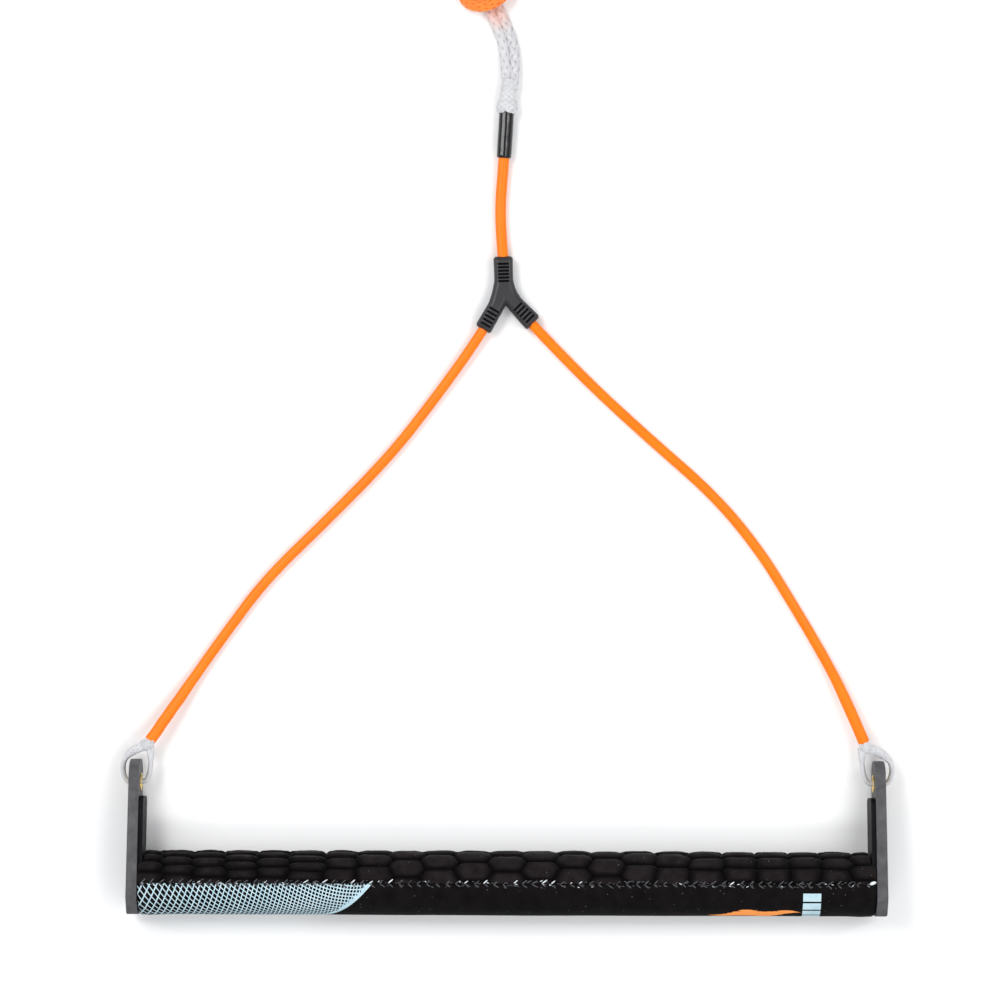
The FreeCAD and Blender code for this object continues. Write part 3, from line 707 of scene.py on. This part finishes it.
main_parts = [skin(tube_rings(main_line, lambda s, a: 2.6 - grip_squeeze * gripped(s), 20, 0.8))]
main_parts += braid_parts(main_line, lambda s: 2.78 - grip_squeeze * gripped(s), 16, 46.0, (1.65, 0.75),
                          steady(0.16), 0.6)
main_loop = place_parts("mainline_loop_braid", main_parts, orange_yarn, "lead",
                        "mainline_loop")

stub_before, stub_end = hitch_points(main_right_hitch[-2:])
stub_way = unit(stub_end - stub_before)
stub_side = unit(np.cross(stub_way, np.array([0.0, 0, 1])))
stub_up = np.cross(stub_side, stub_way)
turns = np.linspace(0.35, TURN - 0.35, 90)
knot_local = np.stack([np.sin(turns) + 2 * np.sin(2 * turns), np.cos(turns) - 2 * np.cos(2 * turns),
                       -np.sin(3 * turns) * 1.9], 1) * 1.42
knot_line = (stub_end + stub_way * 7.2 + knot_local[:, :1] * stub_side + knot_local[:, 1:2] * stub_up
             + knot_local[:, 2:] * stub_way)
knot_parts = [skin(tube_rings(knot_line, steady(1.9), 18, 0.6))]
knot_parts += braid_parts(knot_line, steady(2.0), 12, 26.0, (1.5, 0.7), steady(0.14), 0.5)
tail_line = np.array([stub_end - stub_way * 1.5, stub_end + stub_way * 6, stub_end + stub_way * 15.6])
knot_parts += [skin(tube_rings(tail_line, steady(2.45), 18, 0.5))]
knot_parts += braid_parts(tail_line, steady(2.5), 14, 34.0, (1.4, 0.7), steady(0.14), 0.5)
knot = place_parts("mainline_knot_braid", knot_parts, orange_yarn, "lead", "mainline_knot")

main_sleeve_line = np.array(hitch_points([(u, 0, 4.3) for u in (main_sleeve_from, 38, 45, main_sleeve_to)]))


def main_sleeve_radius(s, a):
    """A rounded box about both strands, pinched between them."""
    round_off = quarter_round(np.minimum(s, main_sleeve_to - main_sleeve_from - s) / 1.2)
    half_w, half_h, square = 7.45, 4.25, 2.6
    pinch = 1 - 0.05 * np.exp(-((np.cos(a)) / 0.28)**2)
    shape = (np.abs(np.cos(a) / half_w)**square + np.abs(np.sin(a) / half_h)**square)**(-1 / square)
    return shape * pinch * (0.88 + 0.12 * round_off) + 0.05 * lumps(s, a, 33, 8) * round_off


place_parts("mainline_sleeve_shrink", [skin(tube_rings(main_sleeve_line, main_sleeve_radius, 56, 0.35))],
            black_sleeve, "lead", "mainline_sleeve")

# -------- grip: the padded half
bar_y, bar_z = -23.66, 15.80
cover_r, under_r, pad_shift, seam_y = 15.4, 14.12, 2.0, 2.0
grip_half, notch_half = 184.9, 182.35
# each column of cells: its middle along the bar, one edge between two cells (degrees from the
# rope side), and the cells' pitch
columns = [
    (-180.2, 44, 24), (-165.7, 52, 23), (-149.2, 56, 21), (-133.0, 43, 20), (-117.4, 56, 22),
    (-100.6, 45, 21), (-84.1, 60, 27), (-67.3, 54, 34), (-50.8, 38.5, 40), (-33.8, 61, 40),
    (-17.1, 45, 40), (-0.1, 66, 40), (17.0, 42, 40), (33.4, 58, 40), (49.8, 33, 40.5),
    (66.4, 49, 40), (83.4, 55.3, 41), (100.0, 31, 29), (116.7, 54, 29), (132.8, 57, 30),
    (149.2, 57, 31), (165.2, 58, 27), (180.0, 49, 30),
]
back_pitch = 38
cells = []
for x, edge, pitch in columns:
    jump = pitch
    middle = edge + pitch / 2
    while middle < 115:
        cells.append((x, middle))
        middle += pitch
    middle = edge - pitch / 2
    while middle > -118:
        cells.append((x, middle))
        if middle < 12:
            jump = 0.5 * jump + 0.5 * back_pitch
        middle -= jump
cells = np.array(cells)
cells[:, 1] = np.radians(cells[:, 1]) * cover_r
uneven = np.interp(np.abs(cells[:, 0]), [50, 90], [0.25, 0.8])
cells += np.stack([noise_rng.uniform(-1, 1, len(cells)) * uneven * 1.3,
                   noise_rng.uniform(-1, 1, len(cells)) * uneven * 0.8], 1)
squeeze_x = np.array([-200, -90, -60, 75, 100, 200])
squeeze = np.array([0.42, 0.44, 0.67, 0.67, 0.52, 0.5])
squeezed = np.concatenate([[0], np.cumsum((squeeze[1:] + squeeze[:-1]) / 2 * np.diff(squeeze_x))])


def cell_depth_in(x, v):
    """How far inside its padded cell a place on the pad is, in mm."""
    here = np.stack([np.interp(x.ravel(), squeeze_x, squeezed), v.ravel()], 1)
    centres = np.stack([np.interp(cells[:, 0], squeeze_x, squeezed), cells[:, 1]], 1)
    gap = ((here[:, None, :] - centres[None, :, :])**2).sum(-1)
    blend = 0.42
    order = np.argsort(gap, axis=1)[:, :8]
    own = centres[order[:, 0]]
    near = np.take_along_axis(gap, order, 1)
    total = 0
    for k in range(1, 8):
        apart = np.linalg.norm(centres[order[:, k]] - own, axis=1)
        total = total + np.exp(-(near[:, k] - near[:, 0]) / (2 * apart) / blend)
    return (-blend * np.log(total)).reshape(x.shape)


def settle_cloth(grid, free, pressure, cap):
    """How far each point of a grid moves as cloth that is held where free is 0 and pressed outward.

    The cloth is made at a hundred times its size, because the solver's steps suit that."""
    size = 0.1
    n, k = grid.shape[:2]
    i, j = np.meshgrid(np.arange(n - 1), np.arange(k - 1), indexing="ij")
    quads = np.stack([i * k + j, (i + 1) * k + j, (i + 1) * k + j + 1, i * k + j + 1], -1).reshape(-1, 4)
    mesh = bpy.data.meshes.new("cloth")
    mesh.from_pydata((grid.reshape(-1, 3) * size).tolist(), [], quads.tolist())
    sheet = bpy.data.objects.new("cloth", mesh)
    add_to_scene(sheet)
    held = sheet.vertex_groups.new(name="held")
    levels = np.round((1 - free.ravel()) * 8) / 8
    for level in np.unique(levels):
        held.add(np.nonzero(levels == level)[0].tolist(), float(level), "REPLACE")
    cloth = sheet.modifiers.new("cloth", "CLOTH")
    setup = cloth.settings
    setup.quality = 4
    setup.mass = 0.3
    setup.tension_stiffness = setup.compression_stiffness = 12
    setup.shear_stiffness = 6
    setup.bending_stiffness = 0.6
    setup.vertex_group_mass = "held"
    setup.pin_stiffness = 1
    setup.use_pressure = True
    setup.uniform_pressure_force = pressure
    setup.effector_weights.gravity = 0
    cloth.collision_settings.use_collision = False
    for step in range(1, 13):
        bpy.context.scene.frame_set(step)
    flat = np.zeros(n * k * 3)
    shown = sheet.evaluated_get(bpy.context.evaluated_depsgraph_get())
    shown.data.vertices.foreach_get("co", flat)
    moved = flat.reshape(n, k, 3) / size - grid
    bpy.context.scene.frame_set(1)
    bpy.data.objects.remove(sheet)
    far = np.linalg.norm(moved, axis=-1, keepdims=True)
    return moved * np.minimum(1, cap / np.maximum(far, 1e-9))


def cover_mesh(name, outer, inner, material, node_name, uvs_of):
    """A closed padded cover from its outer and inner grids, each (n, k, 3)."""
    rings = np.concatenate([outer, inner[:, ::-1]], 1)
    n, k = rings.shape[:2]
    half = k // 2
    quads = ring_quads(n, k)[2].tolist()
    for row, turn in ((0, False), (n - 1, True)):
        for q in range(half - 1):
            face = [row * k + q, row * k + k - 1 - q, row * k + k - 2 - q, row * k + q + 1]
            quads.append(face[::-1] if turn else face)
    flat = rings.reshape(-1, 3)
    uvs = uvs_of(flat)[np.array(quads).ravel()]
    made = place_mesh(name, flat, quads, material, "handle", [node_name], uvs)


pad_reach, straight_to = 89.4, 172
spots = np.linspace(-1, 1, 431)
x0, angle = np.meshgrid(spots * grip_half, np.radians(np.linspace(-pad_reach, pad_reach, 62)), indexing="ij")
notched = ease((np.radians(52) - np.abs(angle)) / np.radians(6))
end_at = grip_half - (grip_half - notch_half) * notched
out = np.abs(x0)
x = np.sign(x0) * np.where(
    out > straight_to,
    straight_to + (out - straight_to) * (end_at - straight_to) / (grip_half - straight_to), out)
arc = angle * cover_r
inside = cell_depth_in(x, arc)
thick = cover_r + pad_shift * np.cos(angle) - under_r
depth = np.minimum(2.2, thick - 0.32)
dome = quarter_round(inside / 2.5)
lifted = np.where(angle > 0, 0.55 + 0.45 * np.sin(angle), 0.2 + 0.35 * np.cos(angle)**4)
crown = lifted * (1 - (1 - np.clip(inside / 5.2, 0, 1))**2)
edge_gap = np.minimum(np.radians(pad_reach) - np.abs(angle), 1.0) * cover_r
edge_round = 1 - quarter_round(edge_gap / 1.6)
end_gap = end_at - np.abs(x)
end_round = 1 - quarter_round(end_gap / 2.6)
soft = np.zeros_like(x)
for scale_x, scale_v, size in ((31, 17, 0.10), (13, 9, 0.07), (5.2, 4.1, 0.035)):
    a, b = noise_rng.uniform(0, 6.28, 2)
    soft += (size * np.sin(x / scale_x * 6.28 + a + 0.8 * np.sin(arc / scale_v * 3.1))
             * np.cos(arc / scale_v * 6.28 + b))
radial = cover_r - depth * (1 - dome) + crown - 0.15 + soft
seat = under_r + 0.25 - pad_shift * np.cos(angle)
radial -= (radial - seat) * np.maximum(end_round * 0.75, edge_round * 0.45)
pad_grid = np.stack([x, bar_y + pad_shift + radial * np.cos(angle), bar_z + radial * np.sin(angle)], -1)
free = ease((inside - 0.5) / 1.6) * ease(edge_gap / 1.5) * ease(end_gap / 2.0)
pad_grid = pad_grid + settle_cloth(pad_grid, free, 2.0, 0.45)
low_turn = math.acos((seam_y + 0.15) / under_r)
inner_turn = np.broadcast_to(np.linspace(-low_turn, low_turn, 62), x.shape)
end_shrink = 0.9995
inner_grid = np.stack(
    [x * end_shrink, bar_y + under_r * np.cos(inner_turn), bar_z + under_r * np.sin(inner_turn)], -1)
# how far up out of the hollows between cells each point is; the suede is painted darker there as shade where
# this is low
unshaded = np.concatenate([np.clip(inside / 2.1, 0, 1)**1.3, np.ones_like(inside)], 1).ravel()


def pad_uvs(p):
    """Along the bar, and how far up out of the hollows between cells, which sets the suede's painted shade
    there.
    """
    return np.stack([p[:, 0] / 100, unshaded], 1)


def linted(tree, where, base, size, reach, patch, strength, colour):
    """base with specks of lint, in patches."""
    lint = node(tree, "ShaderNodeTexVoronoi", in_Scale=size)
    tree.links.new(where, lint.inputs["Vector"])
    pick = math_node(tree, "GREATER_THAN", noise_of(tree, where, patch), 0.56)
    speck = math_node(tree, "MULTIPLY", math_node(tree, "LESS_THAN", lint.outputs["Distance"], reach), pick)
    return mixed(tree, math_node(tree, "MULTIPLY", speck, strength), base, colour)


def split_uv(tree):
    split = tree.nodes.new("ShaderNodeSeparateXYZ")
    tree.links.new(tree.nodes.new("ShaderNodeUVMap").outputs[0], split.inputs[0])
    return split.outputs[0], split.outputs[1]


def suede_finish():
    made, tree, shader = nodes_for("pad_suede")
    where = object_coords(tree)
    cloud = noise_of(tree, where, 210.0, detail=4.0)
    nap = noise_of(tree, where, 2400.0, detail=3.0)
    base = ramp(tree, cloud, [(0.3, (0.0090, 0.0070, 0.0072)), (0.7, (0.0185, 0.0150, 0.0155))])
    base = linted(tree, where, base, 330.0, 0.10, 520.0, 0.6, (0.20, 0.19, 0.19))
    # painted shade: the suede is darkened almost to black in the hollows between cells, the lower the UV's V
    # the darker
    painted_shade_amount = math_node(tree, "SUBTRACT", 1.0, split_uv(tree)[1])
    base = mixed(tree, math_node(tree, "MULTIPLY", painted_shade_amount, 0.97), base, (0.0012, 0.0010, 0.0011))
    tree.links.new(base, shader.inputs["Base Color"])
    set_inputs(shader, Roughness=0.86, Specular_IOR_Level=0.03, Sheen_Weight=0.07, Sheen_Roughness=0.45)
    bumped(tree, shader, nap, 0.5, 0.0002)
    return made


suede = suede_finish()
cover_mesh("grip_pad_cells", pad_grid, inner_grid, suede, "grip_pad_panel", pad_uvs)

# -------- grip: the printed half
start_turn = math.acos((seam_y - 0.15) / cover_r)
print_turns = np.linspace(start_turn, TURN - start_turn, 84)
px, pa = np.meshgrid(np.linspace(-grip_half, grip_half, 301), print_turns, indexing="ij")
gap = grip_half - np.abs(px)
round_end = 1 - quarter_round(gap / 1.7)
edge = np.minimum(pa - start_turn, TURN - start_turn - pa) * cover_r
round_edge = 1 - quarter_round(edge)
slack = 0.10 * np.sin(px / 41 + 1.3) * np.cos(pa * 2 + 0.5) + 0.05 * np.sin(px / 11.3 + 2 * np.sin(pa * 3))
slack += 0.3 * np.exp(-((np.abs(px) - 178) / 5.0)**2)
pucker = 0.10 * np.sin(px * TURN / 4.9) * np.exp(-edge / 1.8)
pr = cover_r - 0.08 + slack + pucker - 0.95 * round_end - 0.4 * round_edge
print_grid = np.stack([px, bar_y + pr * np.cos(pa), bar_z + pr * np.sin(pa)], -1)
free = ease(edge / 3.0) * ease(gap / 3.0)
print_grid = print_grid + settle_cloth(print_grid, free, 0.25, 0.12)
inner_start = math.acos((seam_y - 0.15) / under_r)
inner_turn = np.broadcast_to(np.linspace(inner_start, TURN - inner_start, 84), px.shape)
print_inner = np.stack(
    [px * end_shrink, bar_y + under_r * np.cos(inner_turn), bar_z + under_r * np.sin(inner_turn)], -1)


def print_uvs(p):
    """Along the bar, and round it from the upper seam, both in centimetres."""
    turn = np.arctan2(p[:, 2] - bar_z, p[:, 1] - bar_y)
    turn = np.where(turn < 0, turn + TURN, turn)
    return np.stack([p[:, 0] / 10, (turn - start_turn) * cover_r / 10], 1)


def print_finish():
    """Black knit with a pale net at one end and, at the other, a brush mark and a row of bars.

    u runs along the bar and v round it from the upper seam, in mm."""
    made, tree, shader = nodes_for("print_cloth")

    def calc(*values):
        return math_node(tree, *values)

    def times(a, b):
        return calc("MULTIPLY", a, b)

    def between(a, b, c):
        """1 where a is between b and c."""
        return calc("MULTIPLY", calc("GREATER_THAN", a, b), calc("LESS_THAN", a, c))

    def net_line(value, width):
        off = calc("ABSOLUTE", calc("SUBTRACT", calc("FRACT", value), 0.5))
        return calc("LESS_THAN", calc("SUBTRACT", 0.5, off), width)

    u, v = [times(part, 10.0) for part in split_uv(tree)]
    where = object_coords(tree)
    # the net: two families of lines that crowd together away from the bar's end
    w = calc("ADD", u, 186.0)
    w2 = times(w, w)
    across = times(calc("ADD", w, times(v, 0.5)), 0.25)
    across = calc("ADD", across, times(w2, 0.0017))
    steepness = calc("MULTIPLY_ADD", w, 0.0014, 0.24)
    bow = calc("SUBTRACT", times(w, 1.25), times(w2, 0.0068))
    bow = calc("ADD", bow, times(calc("SINE", times(w, 0.075)), 1.4))
    down = times(calc("SUBTRACT", v, bow), calc("MULTIPLY_ADD", w, 0.0030, 0.23))
    net = calc("MAXIMUM", net_line(across, times(steepness, 0.38)),
               net_line(down, times(steepness, 0.40)))
    # its slanting edge, with a rim and a haze
    slant = calc("ADD", u, calc("MULTIPLY_ADD", v, 1.06, 67.4))
    slant = calc("SUBTRACT", slant, times(calc("SINE", times(v, 0.12)), 1.6))
    within = calc("LESS_THAN", slant, 0.0)
    rim = times(within, calc("GREATER_THAN", slant, -1.1))
    drift = calc("ADD", slant, times(noise_of(tree, where, 600.0), 7.0))
    haze = times(within, calc("GREATER_THAN", drift, 0.6))
    net = calc("MAXIMUM", times(net, within), calc("MAXIMUM", rim, haze))
    # the bars, round the cover
    bars = None
    for k in range(5):
        low = 4.2 + 5.4 * k
        band = between(v, low, low + 4.4)
        bars = band if bars is None else calc("MAXIMUM", bars, band)
    bars = times(bars, between(u, 148.2, 157.2))
    # the brush mark, along it
    streak = noise_of(tree, tree.nodes.new("ShaderNodeUVMap").outputs[0], 1.6, detail=4.0,
                      stretch=(0.55, 9.0, 1.0))
    run = calc("DIVIDE", calc("SUBTRACT", u, 101.0), 46.5)
    arch = calc("SINE", times(calc("MINIMUM", calc("MAXIMUM", run, 0.0), 1.0), math.pi))
    half_width = times(arch, calc("MULTIPLY_ADD", streak, 5.0, 1.0))
    middle = calc("SUBTRACT", 20.2, times(run, 3.4))
    middle = calc("ADD", middle, times(calc("SINE", times(run, 12.5)), 1.2))
    brush = calc("LESS_THAN", calc("ABSOLUTE", calc("SUBTRACT", v, middle)), half_width)
    brush = times(brush, between(run, 0.0, 1.0))
    # the knit
    cloud = noise_of(tree, where, 160.0, detail=4.0)
    knit = noise_of(tree, where, 3000.0, detail=2.0)
    base = ramp(tree, cloud, [(0.3, (0.0045, 0.0038, 0.0040)), (0.75, (0.0085, 0.0075, 0.0075))])
    base = linted(tree, where, base, 420.0, 0.12, 300.0, 0.5, (0.16, 0.16, 0.17))
    ink = ramp(tree, cloud, [(0.3, (0.42, 0.60, 0.68)), (0.7, (0.58, 0.74, 0.80))])
    base = mixed(tree, calc("MAXIMUM", net, bars), base, ink)
    base = mixed(tree, brush, base, (0.95, 0.34, 0.09))
    tree.links.new(base, shader.inputs["Base Color"])
    set_inputs(shader, Roughness=0.72, Specular_IOR_Level=0.02, Sheen_Weight=0.01)
    bumped(tree, shader, knit, 0.3, 0.00012)
    return made


cloth = print_finish()
cover_mesh("grip_print_cover", print_grid, print_inner, cloth, "grip_print_panel",
           print_uvs)

# -------- grip: seam stitches
thread = fibre_finish("seam_thread", [(0.022, 0.021, 0.027), (0.065, 0.063, 0.075)], 0.5, 60.0)
pale_thread = fibre_finish("seam_thread_pale", [(0.55, 0.62, 0.66), (0.85, 0.90, 0.92)], 0.45, 60.0)


def stitches(name, node_name, upper, seed):
    """A row of V stitches along a seam with loose fibres about them; a few are pale."""
    r = random.Random(seed)
    parts, pale = [], []
    sign = 1 if upper else -1

    def stroke(x, y, dx, dy, thick):
        rise = 0.32 if upper else 0.05
        base_z = bar_z + sign * math.sqrt(cover_r**2 - (y - bar_y)**2 * 0.2)
        mid = np.array([x + dx / 2, y + dy / 2, base_z + sign * rise])
        a = np.array([x, y, base_z - sign * 0.25])
        b = np.array([x + dx, y + dy, base_z - sign * 0.25])
        t = np.linspace(0, 1, 7)[:, None]
        line = (1 - t)**2 * a + 2 * t * (1 - t) * (mid + np.array([0, 0, sign * 0.05])) + t**2 * b
        taper = np.array([0.45, 0.85, 1, 1, 1, 0.85, 0.45])
        side, up = axes_of(line)
        q = np.linspace(0, TURN, 6, endpoint=False)
        rings = (line[:, None, :] + side[:, None, :] * (thick * taper[:, None] * np.cos(q))[..., None]
                 + up[:, None, :] * (thick * 0.7 * taper[:, None] * np.sin(q))[..., None])
        parts.append(skin(rings))

    x = -grip_half + 1.6
    while x < grip_half - 3:
        y = bar_y + seam_y + r.uniform(-0.15, 0.15)
        for way in (1, -1):
            stroke(x + r.uniform(-0.3, 0.3), y + way * 0.12, 2.3 + r.uniform(-0.5, 0.6),
                   way * (1.6 + r.uniform(-0.4, 0.4)), r.uniform(0.27, 0.36))
            pale.append(way > 0 and r.random() < 0.15)
        for _ in range(r.randrange(2, 6)):
            stroke(x + r.uniform(0, 4.2), y + r.uniform(-1.5, 1.5), r.uniform(0.6, 1.7),
                   r.uniform(-0.9, 0.9), r.uniform(0.13, 0.24))
            pale.append(r.random() < 0.1)
        x += 4.75 + r.uniform(-0.35, 0.35)
    stroke(grip_half - 3.6, bar_y + seam_y + 0.4, 3.2, 1.1, 0.85)
    pale.append(upper)
    made = place_parts(name, parts, thread, "handle", node_name)
    made.data.materials.append(pale_thread)
    shade = []
    for part, light in zip(parts, pale):
        shade += [int(light)] * len(part[1])
    made.data.polygons.foreach_set("material_index", shade)


stitches("upper_seam_stitches", "upper_seam_thread", True, 5)
stitches("lower_seam_stitches", "lower_seam_thread", False, 6)

# -------- moulded yoke in two halves
# each arm: its way, length, rope's radius, slots, the first slot from its end, their pitch and
# their sideways shift
branches = [(stem_way, 19.4, 2.75, 6, 3.9, 1.74, 0.0), (left_way, 20.6, 2.55, 5, 2.7, 2.15, -0.45),
            (right_way, 20.6, 2.55, 5, 2.7, 2.15, 0.45)]
half_height, corner, slot_depth, slot_half_width = 4.56, 1.5, 1.3, 2.75
crotch = heading(7.75, False) * 5.4
crotch_left, crotch_right = heading(-28.3, False), heading(39.5, False)


def in_arm(way, x, y):
    """A place's distance along an arm of the yoke and across it."""
    return x * way[0] + y * way[1], -x * way[1] + y * way[0]


def yoke_field(side):
    """The yoke's upper half (side 1) or lower half (side -1), about its middle."""
    def field(x, y, z):
        arms = []
        for way, length, *_ in branches:
            u, v = in_arm(way, x, y)
            half_w = 4.8 + 0.25 * np.clip(u / length - 0.5, 0, 0.5)
            qx, qy = np.abs(u - length / 2 + 1) - (length / 2 + 1 - corner), np.abs(v) - (half_w - corner)
            bar = np.hypot(np.maximum(qx, 0), np.maximum(qy, 0)) + np.minimum(np.maximum(qx, qy), 0) - corner
            arms.append(bar)
        flat = np.minimum(soft_min(arms[0], arms[1], 5.2), soft_min(arms[0], arms[2], 5.2))
        cx, cy = x - crotch[0], y - crotch[1]
        wedge = np.minimum(-cx * crotch_left[1] + cy * crotch_left[0],
                           cx * crotch_right[1] - cy * crotch_right[0])
        flat = soft_max(flat, wedge, 1.4)
        top = np.abs(z) - half_height
        shape = soft_max(flat, top, 0.7)
        shape = soft_max(shape, (flat + top + 1.75) * 0.7071, 0.7)
        for way, length, rope, slots, first, pitch, shift in branches:
            u, v = in_arm(way, x, y)
            for k in range(slots):
                at = length - first - pitch * k
                slot = np.maximum(np.abs(u - at) - 0.5, np.abs(v - shift) - slot_half_width)
                slot = np.maximum(slot, half_height - slot_depth - np.abs(z))
                shape = soft_max(shape, -slot, 0.2)
            bore = np.maximum(np.hypot(v, z) - rope - 0.16, 5.0 - u)
            shape = np.maximum(shape, -bore)
        return np.maximum(shape, 0.035 - side * z)
    return field


for side, name in ((1, "yoke_upper_half"), (-1, "yoke_lower_half")):
    low_z, high_z = (-0.3, 5.0) if side > 0 else (-5.0, 0.3)
    points, faces = surface_of(yoke_field(side), (-18.5, -20.5, low_z), (19.5, 21.5, high_z), 0.2)
    moulding = place_mesh(f"{name}_moulding", points + yoke_centre, faces, yoke_rubber, "bridle",
                          [name])
    # the faces on the slot floors and walls get the darker rubber as painted shade in the recesses
    moulding.data.materials.append(slot_painted_shade)
    middle = points[np.array(faces)].mean(1)
    shaded_slot_faces = np.zeros(len(faces), bool)
    for way, length, _, slots, first, pitch, shift in branches:
        u, v = in_arm(way, middle[:, 0], middle[:, 1])
        for k in range(slots):
            shaded_slot_faces |= (np.abs(u - (length - first - pitch * k)) < 0.56) & (np.abs(v - shift) < 2.85)
    shaded_slot_faces &= (np.abs(middle[:, 2]) < 4.4) & (np.abs(middle[:, 2]) > 3.15)
    moulding.data.polygons.foreach_set("material_index", shaded_slot_faces.astype(int))
fill = [skin(tube_rings(np.array([yoke_centre, yoke_centre + way * reach]), steady(radius), 20, 0.8))
        for way, reach, radius in ((stem_way, 18.0, 2.7), (left_way, 8.4, 2.5), (right_way, 8.4, 2.5))]
place_parts("bridle_splice_core", fill, white_yarn, "bridle", "bridle_splice")

# -------- CAD pieces that stay
kept = {
    "bar_tube": alloy, "flotation_foam": foam, "grip_underlay": neoprene,
    "tube_plug": plug_plastic, "plug_seal": seal_rubber, "arm": arm_plastic, "arm_brace": brace_plastic,
    "arm_screw": steel, "eyelet": brass, "eyelet_washer": brass,
}
for name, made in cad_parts.items():
    short = name.replace("left_", "").replace("right_", "")
    if short in kept:
        made.data.materials.clear()
        made.data.materials.append(kept[short])

# -------- floor and close
floor_paint, tree, shader = nodes_for("floor_paint")
set_inputs(shader, Base_Color=(0.93, 0.93, 0.93, 1), Roughness=0.7)
reach = 4000.0
corners = [(-reach, -reach, 0), (reach, -reach, 0), (reach, reach, 0), (-reach, reach, 0)]
floor = place_mesh("floor", corners, [[0, 1, 2, 3]], floor_paint, smooth=False)
